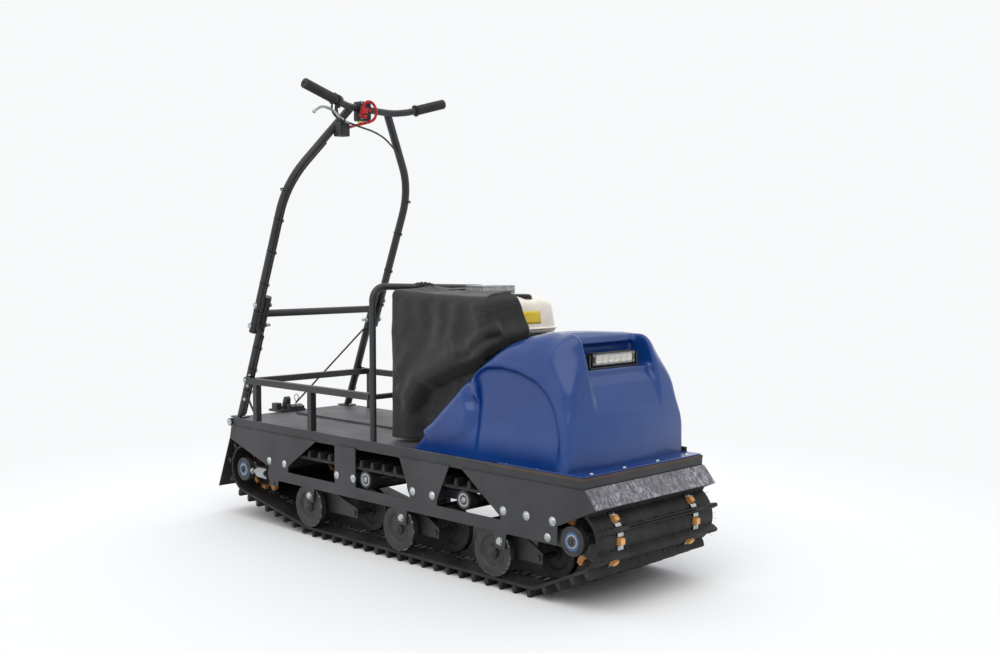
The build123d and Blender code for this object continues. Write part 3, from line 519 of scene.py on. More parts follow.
def studio():
    """A pale floor that runs into a pale surround, and soft light from above."""
    scene = bpy.context.scene
    scene.view_settings.view_transform = "Standard"
    world = bpy.data.worlds.new("studio")
    scene.world = world
    world.use_nodes = True
    t = world.node_tree
    light = t.nodes["Background"]
    light.inputs["Color"].default_value = (0.97, 0.985, 1.0, 1)
    light.inputs["Strength"].default_value = 0.62
    pale = t.nodes.new("ShaderNodeBackground")
    pale.inputs["Color"].default_value = (0.93, 0.94, 0.95, 1)
    pale.inputs["Strength"].default_value = 1.0
    mix = t.nodes.new("ShaderNodeMixShader")
    t.links.new(seen(t), mix.inputs["Fac"])
    t.links.new(light.outputs[0], mix.inputs[1])
    t.links.new(pale.outputs[0], mix.inputs[2])
    t.links.new(mix.outputs[0], t.nodes["World Output"].inputs["Surface"])

    bpy.ops.mesh.primitive_plane_add(size=80, location=(0, 0, 0))
    floor = bpy.context.object
    floor.name = "floor"
    m = bpy.data.materials.new("floor")
    m.use_nodes = True
    t = m.node_tree
    p = t.nodes["Principled BSDF"]
    p.inputs["Base Color"].default_value = (0.9, 0.905, 0.915, 1)
    p.inputs["Roughness"].default_value = 0.9
    p.inputs["Specular IOR Level"].default_value = 0.1
    glow = t.nodes.new("ShaderNodeEmission")
    glow.inputs["Color"].default_value = (0.93, 0.94, 0.95, 1)
    # Away from the object the floor fades into the surround
    coords = t.nodes.new("ShaderNodeTexCoord")
    reach = t.nodes.new("ShaderNodeVectorMath")
    reach.operation = "LENGTH"
    t.links.new(coords.outputs["Object"], reach.inputs[0])
    far = t.nodes.new("ShaderNodeMapRange")
    far.interpolation_type = "SMOOTHSTEP"
    far.inputs["From Min"].default_value = 1.0
    far.inputs["From Max"].default_value = 2.6
    t.links.new(reach.outputs["Value"], far.inputs["Value"])
    both = t.nodes.new("ShaderNodeMath")
    both.operation = "MULTIPLY"
    t.links.new(seen(t), both.inputs[0])
    t.links.new(far.outputs["Result"], both.inputs[1])
    mix = t.nodes.new("ShaderNodeMixShader")
    t.links.new(both.outputs[0], mix.inputs["Fac"])
    t.links.new(p.outputs[0], mix.inputs[1])
    t.links.new(glow.outputs[0], mix.inputs[2])
    t.links.new(mix.outputs[0], t.nodes["Material Output"].inputs["Surface"])
    floor.data.materials.append(m)
    sun("key", (-0.35, 0.5, -1.1), 1.35, 1.2, (1.0, 0.99, 0.97))
    sun("fill", (0.7, 0.55, -0.55), 0.3, 1.4, (0.97, 0.98, 1.0))
    sun("back", (0.3, -0.8, -0.9), 0.5, 1.3, (1, 1, 1))


camera()


# The free stop cord, on the source's route, in metres
STOP_ROUTE = [
    (-0.304, -0.054, 1.328), (-0.290, -0.060, 1.352), (-0.290, -0.042, 1.373), (-0.290, -0.020, 1.372),
    (-0.290, -0.003, 1.354), (-0.290, -0.003, 1.328), (-0.290, -0.020, 1.311), (-0.302, -0.040, 1.304),
    (-0.320, -0.066, 1.297), (-0.328, -0.093, 1.287),
]


def smooth_line(route):
    """Points, in metres, along the smooth curve that a route's points control."""
    data = bpy.data.curves.new("route", "CURVE")
    data.dimensions = "3D"
    data.resolution_u = 24
    line = data.splines.new("NURBS")
    line.points.add(len(route) - 1)
    for point, at in zip(line.points, route):
        point.co = (*at, 1)
    line.order_u = 3
    line.use_endpoint_u = True
    obj = link(bpy.data.objects.new("route", data))
    mesh = bpy.data.meshes.new_from_object(obj)
    points = [v.co.copy() for v in mesh.vertices]
    bpy.data.meshes.remove(mesh)
    bpy.data.objects.remove(obj)
    bpy.data.curves.remove(data)
    return points


def even(points, step):
    """The same line, with points at an even distance."""
    pts = np.array(points, float)
    place = np.concatenate([[0], np.cumsum(np.linalg.norm(np.diff(pts, axis=0), axis=1))])
    at = np.linspace(0, place[-1], max(int(place[-1] / step), 2) + 1)
    return [Vector([np.interp(s, place, pts[:, k]) for k in range(3)]) for s in at], place[-1]


def make_stop_cord():
    """A curly red lanyard: a thin strand wound tightly along the route."""
    line = smooth_line(STOP_ROUTE)
    length = even(line, 0.01)[1]
    pitch, per_turn, wound, strand = 4.4, 14, 3.0, 2.0
    turns = length / MM / pitch
    middle, _ = even(line, length / (turns * per_turn))
    coil = []
    side = None
    for i, p in enumerate(middle):
        way = (middle[min(i + 1, len(middle) - 1)] - middle[max(i - 1, 0)]).normalized()
        side = way.orthogonal().normalized() if side is None else (side - way * side.dot(way)).normalized()
        a = 2 * math.pi * i / per_turn
        coil.append(p / MM + (side * math.cos(a) + way.cross(side) * math.sin(a)) * wound)
    b = Builder()
    b.tube(coil, strand, 8)
    obj = b.finish("stop_cord_coil", M["red"], 80)
    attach(obj, "handle")
    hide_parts("stop_cord")


make_stop_cord()


# Hood


def smooth(t):
    """A soft step from 0 to 1."""
    t = np.clip(t, 0, 1)
    return t * t * (3 - 2 * t)


def rounded_outline(corners):
    """Dense points of an outline whose corners (a, b, radius) are rounded."""
    out = []
    n = len(corners)
    for i, (a, b, r) in enumerate(corners):
        here = np.array((a, b), float)
        back = np.array(corners[i - 1][:2], float) - here
        ahead = np.array(corners[(i + 1) % n][:2], float) - here
        lb, la = np.linalg.norm(back), np.linalg.norm(ahead)
        back, ahead = back / lb, ahead / la
        half = math.acos(np.clip(np.dot(back, ahead), -1, 1)) / 2
        cut = min(r / math.tan(half), 0.49 * min(lb, la)) if r else 0
        if cut < 0.5:
            out.append(here)
            continue
        for t in np.linspace(0, 1, 9):
            p0, p2 = here + back * cut, here + ahead * cut
            out.append((1 - t) ** 2 * p0 + 2 * t * (1 - t) * here + t * t * p2)
    return np.array(out)


class Outline:
    """Signed distance to a closed outline, negative inside, from a table."""

    STEP = 2.0

    def __init__(self, corners, low=(60, 280), high=(900, 780)):
        pts = rounded_outline([(c[0], c[1], c[2] if len(c) > 2 else 0) for c in corners])
        self.low = low
        a = np.arange(low[0], high[0] + self.STEP, self.STEP)
        b = np.arange(low[1], high[1] + self.STEP, self.STEP)
        ga, gb = np.meshgrid(a, b, indexing="ij")
        best = np.full(ga.shape, 1e9)
        inside = np.zeros(ga.shape, bool)
        for p, q in zip(pts, np.roll(pts, -1, axis=0)):
            d = q - p
            size = max(d.dot(d), 1e-9)
            t = np.clip(((ga - p[0]) * d[0] + (gb - p[1]) * d[1]) / size, 0, 1)
            best = np.minimum(best, (ga - p[0] - t * d[0]) ** 2 + (gb - p[1] - t * d[1]) ** 2)
            if abs(d[1]) > 1e-9:
                spans = (p[1] > gb) != (q[1] > gb)
                inside ^= spans & (ga < p[0] + (gb - p[1]) / d[1] * d[0])
        self.table = np.where(inside, -1, 1) * np.sqrt(best)

    def __call__(self, a, b):
        fa = np.clip((a - self.low[0]) / self.STEP, 0, self.table.shape[0] - 1.001)
        fb = np.clip((b - self.low[1]) / self.STEP, 0, self.table.shape[1] - 1.001)
        ia, ib = fa.astype(int), fb.astype(int)
        ta, tb = fa - ia, fb - ib
        t = self.table
        return (t[ia, ib] * (1 - ta) + t[ia + 1, ib] * ta) * (1 - tb) + (
            t[ia, ib + 1] * (1 - ta) + t[ia + 1, ib + 1] * ta
        ) * tb


def round_and(a, b, r):
    """Both fields, with the edge between them rounded."""
    corner = np.hypot(np.maximum(a + r, 0), np.maximum(b + r, 0))
    return np.minimum(np.maximum(a, b) + r, 0) + corner - r


PROFILE = Outline([
    (132, 334), (162, 350, 10), (186, 378), (191, 396, 6), (236, 430, 20), (290, 482, 30), (386, 577, 15),
    (440, 622, 60), (484, 652, 60), (535, 676, 80), (600, 690, 60), (704, 702, 100), (762, 430, 200),
    (758, 200), (132, 200),
])
SUNKEN = Outline([
    (414, 300), (414, 492), (405, 533, 30), (390, 560, 12), (404, 573, 10), (430, 584, 20), (485, 588, 60),
    (550, 579, 60), (612, 560, 60), (655, 530, 60), (685, 490, 60), (701, 448), (710, 416), (712, 300),
])
VALLEY = Outline([
    (150, 300), (150, 362), (240, 362), (310, 370, 20), (356, 390, 30), (386, 420, 30), (395, 455, 20),
    (390, 480), (425, 492), (425, 300),
])
LOBE = Outline([
    (186, 398), (236, 436), (290, 488), (349, 545, 10), (368, 509, 30), (377, 484, 30), (388, 455, 30),
    (380, 423, 30), (351, 394, 30), (305, 376, 30), (240, 370, 20), (190, 386),
])
NICHE = Outline([
    (636, 588, 8), (708, 588, 5), (704, 576, 8), (722, 548, 30), (757, 465, 60), (890, 465),
    (890, 770), (575, 770), (575, 694, 10),
    (602, 691, 20), (626, 682, 20), (642, 669, 15), (650, 652, 4), (636, 646, 6),
])
NICHE_HALF = 137.0
HOOD_HALF = 243.0


def hood_field(x, y, z):
    """Distance to the hood's outer skin in millimetres, negative inside."""
    a = np.abs(y)
    # The crown hangs a little, more on the far side
    crown = z + (5 + 14 * smooth((y + 80) / 250)) * smooth((z - 540) / 120)
    bow = a ** 2 / 2972 * np.clip((x - 560) / 120, 0, 1) * (1 - 0.5 * smooth((z - 450) / 60))
    side = PROFILE(x + bow, crown)
    up = z - 430
    half = HOOD_HALF - 0.1535 * (up + np.hypot(up, 45)) / 2 + 1.5
    # The side panel is sunken under the arch, and runs softly into the tail
    outside = SUNKEN(x, z)
    sunken = smooth(0.5 - outside / 11)
    valley = smooth(0.25 - VALLEY(x, z) / 24)
    depth = 8.5 * np.maximum(sunken, valley) * smooth((z - 365) / 85)
    foot = 5 * np.clip((392 - z) / 55, 0, 1) ** 2
    lip = 4.5 * smooth(1.15 - np.abs(outside - 9) / 17) * smooth((z - 480) / 50)
    lip = lip * (1 - smooth((x - 590) / 90))
    lobe = 9 * smooth(0.4 - LOBE(x, z) / 24)
    pocket = 12 * np.exp(-(((x - 387) / 20) ** 2 + ((z - 490) / 13) ** 2))
    width = a - (half - depth + foot + lip + lobe - pocket - 3)
    # The front corner is sharp at the foot, and swells into a round fender above
    corner = 8 + 24 * smooth((z - 446) / 60) + 64 * smooth((z - 530) / 120)
    edge = 26 + 30 * smooth((x - 450) / 120)
    r = edge + (corner - edge) * smooth((x - 560) / 90)
    body = round_and(side, width, r)
    niche = round_and(NICHE(x, z), a - NICHE_HALF, 12)
    return round_and(body, -niche, 9)


def surface_net(values, low, step):
    """Vertices and quads of the zero surface of a sampled field."""
    solid = values < 0
    n = np.array(values.shape) - 1
    total = np.zeros((*n, 3))
    count = np.zeros(n)

    def view(shift):
        return tuple(slice(s, s + n[k]) for k, s in enumerate(shift))

    for axis in range(3):
        o1, o2 = (axis + 1) % 3, (axis + 2) % 3
        for d1 in (0, 1):
            for d2 in (0, 1):
                start = [0, 0, 0]
                start[o1], start[o2] = d1, d2
                end = list(start)
                end[axis] = 1
                a, b = values[view(start)], values[view(end)]
                cross = (a < 0) != (b < 0)
                t = np.where(cross, a / np.where(cross, a - b, 1), 0)
                total[..., axis] += t
                total[..., o1] += d1 * cross
                total[..., o2] += d2 * cross
                count += cross
    active = count > 0
    index = np.full(n, -1)
    index[active] = np.arange(active.sum())
    cells = np.argwhere(active)
    verts = np.array(low) + step * (cells + total[active] / count[active][:, None])
    faces = []
    for axis in range(3):
        o1, o2 = (axis + 1) % 3, (axis + 2) % 3
        lower = [slice(0, None)] * 3
        upper = [slice(0, None)] * 3
        lower[axis], upper[axis] = slice(0, -1), slice(1, None)
        first, second = solid[tuple(lower)], solid[tuple(upper)]
        spots = np.argwhere(first != second)
        keep = (spots[:, o1] > 0) & (spots[:, o2] > 0) & (spots[:, o1] < n[o1]) & (spots[:, o2] < n[o2])
        spots = spots[keep]
        ring = []
        for d1, d2 in ((1, 1), (0, 1), (0, 0), (1, 0)):
            c = spots.copy()
            c[:, o1] -= d1
            c[:, o2] -= d2
            ring.append(index[c[:, 0], c[:, 1], c[:, 2]])
        quad = np.stack(ring, axis=1)
        out = first[spots[:, 0], spots[:, 1], spots[:, 2]]
        quad[~out] = quad[~out][:, ::-1]
        faces.append(quad)
    return verts, np.concatenate(faces)


def make_hood():
    """The moulded shell: its form is meshed, cut open and given a wall."""
    step = 4.6
    low, high = (128, -257, 322), (772, 257, 712)
    axes = [np.arange(low[k], high[k] + step, step) for k in range(3)]
    x, y, z = np.meshgrid(*axes, indexing="ij")
    verts, faces = surface_net(hood_field(x, y, z), low, step)
    for _ in range(4):
        here = hood_field(*verts.T)
        grad = np.stack([
            (hood_field(*(verts + e).T) - hood_field(*(verts - e).T)) / 1.0
            for e in 0.5 * np.eye(3)
        ], axis=1)
        size = np.maximum((grad ** 2).sum(1), 0.3)
        verts -= 0.8 * grad * (here / size)[:, None]
    bm = bmesh.new()
    made = [bm.verts.new(v) for v in verts]
    for face in faces:
        bm.faces.new([made[i] for i in face])
    # The shell is open below, and over and behind the engine
    openings = [(412.0, 208.0), (540.0, 178.0)]
    cuts = [((0, 0, 337.0), (0, 0, -1), True)]
    for rear, half in openings:
        cuts += [((rear, 0, 0), (1, 0, 0), False), ((0, half, 0), (0, 1, 0), False),
                 ((0, -half, 0), (0, -1, 0), False)]
    for point, way, clear in cuts:
        bmesh.ops.bisect_plane(
            bm, geom=bm.verts[:] + bm.edges[:] + bm.faces[:], plane_co=point, plane_no=way,
            clear_outer=clear, dist=0.05)
    gone = []
    for face in bm.faces:
        c = face.calc_center_median()
        if any(c.x < rear and abs(c.y) < half for rear, half in openings):
            gone.append(face)
    bmesh.ops.delete(bm, geom=gone, context="FACES")
    for v in bm.verts:
        v.co *= MM
    bmesh.ops.recalc_face_normals(bm, faces=bm.faces)
    mesh = bpy.data.meshes.new("hood_shell")
    bm.to_mesh(mesh)
    bm.free()
    mesh.polygons.foreach_set("use_smooth", [True] * len(mesh.polygons))
    # Painted shade: darker in the hollow under the arch, and darker along the foot, where it also stands in
    # for the deck's reflection
    at = np.zeros(len(mesh.vertices) * 3)
    mesh.vertices.foreach_get("co", at)
    x, y, z = at.reshape(-1, 3).T / MM
    crease_shade = np.exp(-(((SUNKEN(x, z) + 0.5) / 6.5) ** 2)) * smooth((z - 350) / 60)
    crease_shade = crease_shade * (np.abs(y) > NICHE_HALF + 20)
    foot = (1 - smooth((z - 345) / 70)) * (1 - 0.85 * smooth((x - 690) / 60))
    painted_shade = np.clip(0.45 * crease_shade + 0.42 * foot, 0, 1)
    tint = mesh.attributes.new("painted_shade", "FLOAT", "POINT")
    tint.data.foreach_set("value", painted_shade)
    shell = link(bpy.data.objects.new("hood_shell", mesh))
    mesh.materials.append(M["gelcoat"])
    wall = shell.modifiers.new("wall", "SOLIDIFY")
    wall.thickness = 0.004
    wall.offset = -1
    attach(shell, "chassis")
    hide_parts("hood")

    rim = Builder()
    for side in (-1, 1):
        y = sorted((side * 247, side * 228))
        rim.box((500, 735), y, (337.2, 341))
    rim.box((735, 800), (-247, 247), (337.2, 341))
    rim = rim.finish("hood_rim", M["gelcoat"], bevel=1.2)
    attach(rim, "chassis")
    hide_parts("hood")


make_hood()
# Cover


def near_line(u, v, line):
    """Distance from points to an open line, and the side they lie on."""
    best = np.full(u.shape, 1e9)
    side = np.zeros(u.shape)
    share = np.zeros(u.shape)
    for i, (p, q) in enumerate(zip(line, line[1:])):
        p, q = np.array(p, float), np.array(q, float)
        d = q - p
        t = np.clip(((u - p[0]) * d[0] + (v - p[1]) * d[1]) / d.dot(d), 0, 1)
        du, dv = u - p[0] - t * d[0], v - p[1] - t * d[1]
        dist = np.hypot(du, dv)
        closer = dist < best
        best = np.where(closer, dist, best)
        side = np.where(closer, np.sign(d[0] * dv - d[1] * du), side)
        share = np.where(closer, (i + t) / (len(line) - 1), share)
    return best, side, share


def ridge(u, v, line, height, width, ends=0.18):
    """A soft roll along a line, fading at its ends."""
    d, _, share = near_line(u, v, line)
    fade = smooth(share / ends) * smooth((1 - share) / ends)
    return height * np.exp(-((d / width) ** 2)) * fade


def ripple(u, v, scale, seed):
    """Smooth wandering noise over the cloth, from -1 to 1."""
    out = np.zeros(u.shape)
    rng = np.random.default_rng(seed)
    for _ in range(7):
        a = rng.uniform(0, 2 * math.pi)
        k = 2 * math.pi / (scale * rng.uniform(0.7, 1.7))
        bend = rng.uniform(0, 6) + 1.3 * np.sin(v / scale * 1.7 + rng.uniform(0, 6))
        out += np.sin(k * (u * math.cos(a) + v * math.sin(a)) + bend)
    return out / 7


# The tuck across the near side, in u along the cloth and z
TUCK = [(60, 415), (84, 450), (131, 512), (234, 556), (313, 586), (400, 618), (470, 640), (560, 652)]


def cover_push(u, z):
    """How far the cloth stands out of its plain box, in millimetres."""
    # u runs from the near rear corner along the near side and round the front
    d, side, _ = near_line(u, z, TUCK)
    below = (side < 0) & (z < 660)
    depth = 46 * smooth(d / 26) * (1 - 0.62 * smooth((d - 40) / 150)) * smooth((u - 62) / 60)
    out = np.where(below, -depth, 0.0)
    over = 13 * np.exp(-(((d - 24) / 26) ** 2)) * ~below * smooth((u - 40) / 60)
    out += over
    out += ridge(u, z, [(299, 775), (292, 720), (284, 690), (272, 645), (284, 590)], 8, 24)
    out += ridge(u, z, [(262, 655), (272, 625), (286, 597)], -4, 11)
    out += ridge(u, z, [(286, 601), (330, 606), (395, 655), (446, 668)], -8, 11)
    out += ridge(u, z, [(330, 628), (390, 680), (450, 690)], 8, 18)
    out += ridge(u, z, [(94, 625), (60, 570), (25, 540)], 6, 22)
    out += ridge(u, z, [(150, 760), (175, 700), (160, 640), (110, 590)], -7, 24)
    out += ridge(u, z, [(215, 772), (225, 700), (205, 640)], 4, 20)
    out += ridge(u, z, [(60, 775), (75, 700), (50, 640)], 3.5, 22)
    out += ridge(u, z, [(186, 530), (160, 483), (133, 428), (146, 380)], 10, 17)
    out += ridge(u, z, [(255, 540), (230, 490), (215, 430)], 9, 20)
    out += ridge(u, z, [(20, 500), (70, 480), (100, 430), (90, 370)], 7, 22)
    out += ridge(u, z, [(352, 760), (372, 717), (383, 690)], 5, 15)
    out += 3.2 * ripple(u, z, 150, 4) + 1.1 * ripple(u, z, 60, 9) + 0.5 * ripple(u, z, 26, 12)
    return out


# The free edge of the front flap: height and the farthest y
FREE_EDGE = [(600, -21), (664, -22), (690, -25), (713, -32), (741, -43), (762, -54), (774, -63), (783, -78)]
# Height of the top along u, at the near edge and across the front
TOP_EDGE = [(-400, 783), (0, 786), (34, 787), (178, 779), (323, 776), (395, 777), (470, 785), (565, 788)]
# A seam across the front face, y and z
SEAM = [(-204, 733), (-158, 737), (-115, 746), (-67, 751), (-50, 753)]


def skirt_path():
    """Points along the skirt seen from above, u along it, and the way out."""
    rear_far, near_y, x_rear, x_front = 194.0, -190.0, -9.0, 392.0
    corners = [(x_rear, rear_far), (x_rear, near_y), (x_front, near_y), (x_front, -26.0)]
    fine = []
    for (x0, y0), (x1, y1) in zip(corners, corners[1:]):
        n = int(math.hypot(x1 - x0, y1 - y0) / 5)
        fine += [(x0 + (x1 - x0) * i / n, y0 + (y1 - y0) * i / n) for i in range(n)]
    fine.append(corners[-1])
    fine = np.array(fine)
    # Round the two corners
    for _ in range(24):
        fine[1:-1] = 0.5 * fine[1:-1] + 0.25 * (fine[:-2] + fine[2:])
    step = np.hypot(*np.diff(fine, axis=0).T)
    place = np.concatenate([[0], np.cumsum(step)])
    u = place - place[np.argmin(np.hypot(fine[:, 0] - x_rear, fine[:, 1] - near_y))]
    way = np.gradient(fine, axis=0)
    way /= np.hypot(*way.T)[:, None]
    out = np.stack([way[:, 1], -way[:, 0]], axis=1)
    return fine, u, -out if out[2, 0] > 0 else out


def trimmed(y, z):
    """On the front face, columns drawn in so that they end at the free edge."""
    limit = np.interp(z, *zip(*FREE_EDGE))
    share = np.clip((y + 190) / 164, 0, 1)
    return np.where(share > 0, -190 + share * (limit + 190), y)


def cover_grid():
    """Rows of points: across the top from its far edge, then down the skirt."""
    fine, u, out = skirt_path()
    front = smooth((u - 392) / 30)
    top = np.interp(u, *zip(*TOP_EDGE))
    # Radius of the rounding between top and skirt, and the share cut off its corner
    r = 22 + 10 * smooth((u - 330) / 60)
    cut = 0.293 * r
    edge = fine - out * cut[:, None]
    grid = []
    for reach in np.linspace(1, 0, 40)[:-1] ** 1.5:
        outer_y = np.where(front > 0.5, trimmed(edge[:, 1], 783.0), edge[:, 1])
        outer_y = edge[:, 1] + (outer_y - edge[:, 1]) * front
        inner_y = np.where(u > -150, -42.0, edge[:, 1])
        inner_x = np.where(u > -150, np.clip(edge[:, 0], 72, 362), 72.0)
        x = edge[:, 0] + (inner_x - edge[:, 0]) * reach
        y = outer_y + (inner_y - outer_y) * reach
        inward = cut + np.hypot(inner_x - edge[:, 0], inner_y - outer_y) * reach
        fall = r - np.sqrt(np.maximum(r ** 2 - np.maximum(r - inward, 0) ** 2, 0))
        sag = 8 * math.sin(math.pi * reach) * smooth((u + 100) / 200) * (1 - front)
        inner_z = np.interp(inner_x, (72, 150, 250, 362), (781, 780, 782, 784))
        flat = top + (inner_z - top) * smooth(reach / 0.7)
        waves = 2.6 * ripple(x, y, 120, 21) + 1.0 * ripple(x, y, 45, 22)
        z = flat - sag - fall + waves * smooth(reach / 0.2)
        # The cloth is drawn up and bunched where it is tied to the hoop
        z += (9 + 2 * np.sin(u / 4.0)) * np.exp(-(((u + 152) / 44) ** 2)) * (1 - reach)
        grid.append(np.stack([x, y, np.minimum(z, 791.5)], axis=1))
    hem = 348 + 5 * ripple(u, u * 0 + 50, 120, 31) + 190 * smooth((u - 360) / 60)
    for share in np.concatenate([np.linspace(0, 0.06, 7)[:-1], np.linspace(0.06, 1, 86)]):
        drop = cut + (top - cut - hem) * share
        z = top - drop
        inward = r - np.sqrt(r ** 2 - np.maximum(r - drop, 0) ** 2)
        push = cover_push(u, z)
        push = np.where(u < -20, 4 * ripple(u, z, 140, 41) + 2 * ripple(u, z, 50, 42), push)
        push = np.where((u > -70) & (u <= -20), np.minimum(push, 0), push)
        # At the rear the cloth stays in front of the hoop's bar
        push = np.where(u < 0, np.minimum(push, -1.5) - 1.5 * np.exp(-(((z - 468) / 25) ** 2)), push)
        push = push * float(smooth(share / 0.06)) - inward
        x = fine[:, 0] + out[:, 0] * push
        y = fine[:, 1] + out[:, 1] * push
        y = y + (trimmed(y, z) - y) * front
        grid.append(np.stack([x, y, z], axis=1))
    return np.array(grid)


def make_seam(pts):
    """A doubled edge and its stitches, laid on the front face."""
    face = pts[40:].reshape(-1, 3)
    face = face[face[:, 0] > 376]

    def on_face(y, z, proud):
        near = np.hypot(face[:, 1] - y, face[:, 2] - z)
        nearest = np.argsort(near)[:4]
        weight = 1 / (near[nearest] + 0.3)
        return (float((face[nearest, 0] * weight).sum() / weight.sum()) + proud, y, z)

    line = flat_even(SEAM, 3.0)
    seam, stitches = Builder(), Builder()
    seam.tube([on_face(y, z, 2.0) for y, z in line], 1.5, 8)
    for (y0, z0), (y1, z1) in list(zip(line, line[1:]))[::2]:
        stitches.tube([on_face(y0, z0 - 4.5, 1.8), on_face(y1, z1 - 4.5, 1.8)], 0.7, 6)
    for piece in (
        seam.finish("cover_seam", M["cover_fabric"], 60), stitches.finish("cover_stitches", M["thread"], 60),
    ):
        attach(piece, "chassis")


def flat_even(points, step):
    """Points at an even distance along a line in a plane."""
    pts = np.array(points, float)
    place = np.concatenate([[0], np.cumsum(np.hypot(*np.diff(pts, axis=0).T))])
    at = np.arange(0, place[-1], step)
    return list(zip(np.interp(at, place, pts[:, 0]), np.interp(at, place, pts[:, 1])))


def make_cover():
    """One continuous cloth over the engine: top, near side, rear and front flap."""
    pts = cover_grid()
    n, m = pts.shape[:2]
    verts = pts.reshape(-1, 3)
    faces = [
        (i * m + j, i * m + j + 1, (i + 1) * m + j + 1, (i + 1) * m + j)
        for i in range(n - 1) for j in range(m - 1)
    ]
    cloth = mesh_object("cover_cloth", verts, faces, M["cover_fabric"])
    sub = cloth.modifiers.new("soft", "SUBSURF")
    sub.levels = sub.render_levels = 1
    thick = cloth.modifiers.new("cloth", "SOLIDIFY")
    thick.thickness = 0.0012
    thick.offset = -1
    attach(cloth, "chassis")
    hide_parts("engine_cover")
    make_seam(pts)


make_cover()
# Track fittings: clips at the drive windows, ribs on the lugs, worn edges

# The belt's inner face runs round these circles: x, z, radius
WRAPS = [(762.0, 174.0, 74.0), (-701.0, 168.0, 74.0), (-346.0, 96.5, 67.5), (609.0, 96.5, 67.5)]
BELT, LUG, EDGE, WINDOW_Y = 8.0, 21.0, 242.0, 160.0


def belt_runs():
    """The arcs and straight runs of the belt, in travel order."""
    count = len(WRAPS)
    normals = []
    for i, (x0, z0, r0) in enumerate(WRAPS):
        x1, z1, r1 = WRAPS[(i + 1) % count]
        reach = math.hypot(x1 - x0, z1 - z0)
        normals.append(math.atan2(z1 - z0, x1 - x0) - math.acos((r0 - r1) / reach))
    runs = []
    for i, (x0, z0, r0) in enumerate(WRAPS):
        x1, z1, r1 = WRAPS[(i + 1) % count]
        turn = (normals[i] - normals[i - 1]) % (2 * math.pi)
        runs.append((True, x0, z0, r0, normals[i - 1], turn * r0))
        start = (x0 + r0 * math.cos(normals[i]), z0 + r0 * math.sin(normals[i]))
        run = math.sqrt(math.hypot(x1 - x0, z1 - z0) ** 2 - (r0 - r1) ** 2)
        runs.append((False, *start, r0, normals[i], run))
    return runs


RUNS = belt_runs()
LOOP = sum(run[5] for run in RUNS)
WINDOWS = 66
PITCH = LOOP / WINDOWS
FIRST_WINDOW = -RUNS[0][4] % (2 * math.pi) * WRAPS[0][2]


def on_belt(distance, ahead, out):
    """The (x, z) of a point at a place on the belt, moved along and outward."""
    left = distance % LOOP
    for bent, x, z, r, angle, length in RUNS:
        if left <= length:
            break
        left -= length
    if bent:
        angle += left / r
        x, z = x + r * math.cos(angle), z + r * math.sin(angle)
    else:
        x, z = x - math.sin(angle) * left, z + math.cos(angle) * left
    c, s = math.cos(angle), math.sin(angle)
    return x + out * c - ahead * s, z + out * s + ahead * c


def belt_prism(b, at, outline, y0, y1):
    """An outline in (along the belt, outward) made thick from y0 to y1."""
    flat = [on_belt(at, ahead, out) for ahead, out in outline]
    n = len(flat)
    verts = [(x, y0, z) for x, z in flat] + [(x, y1, z) for x, z in flat]
    faces = [list(range(n)), [n + i for i in reversed(range(n))]]
    faces += [[i, n + i, n + (i + 1) % n, (i + 1) % n] for i in range(n)]
    b.add(verts, faces)


CLIP = [
    (22.0, 8.1), (22.0, 10.6), (13.0, 11.2), (10.6, 10.0), (9.7, 7.6), (9.7, 1.0),
    (10.6, -0.8), (13.0, -1.7), (17.6, -1.4), (17.6, -0.1), (14.8, -0.1), (14.8, 8.1),
]


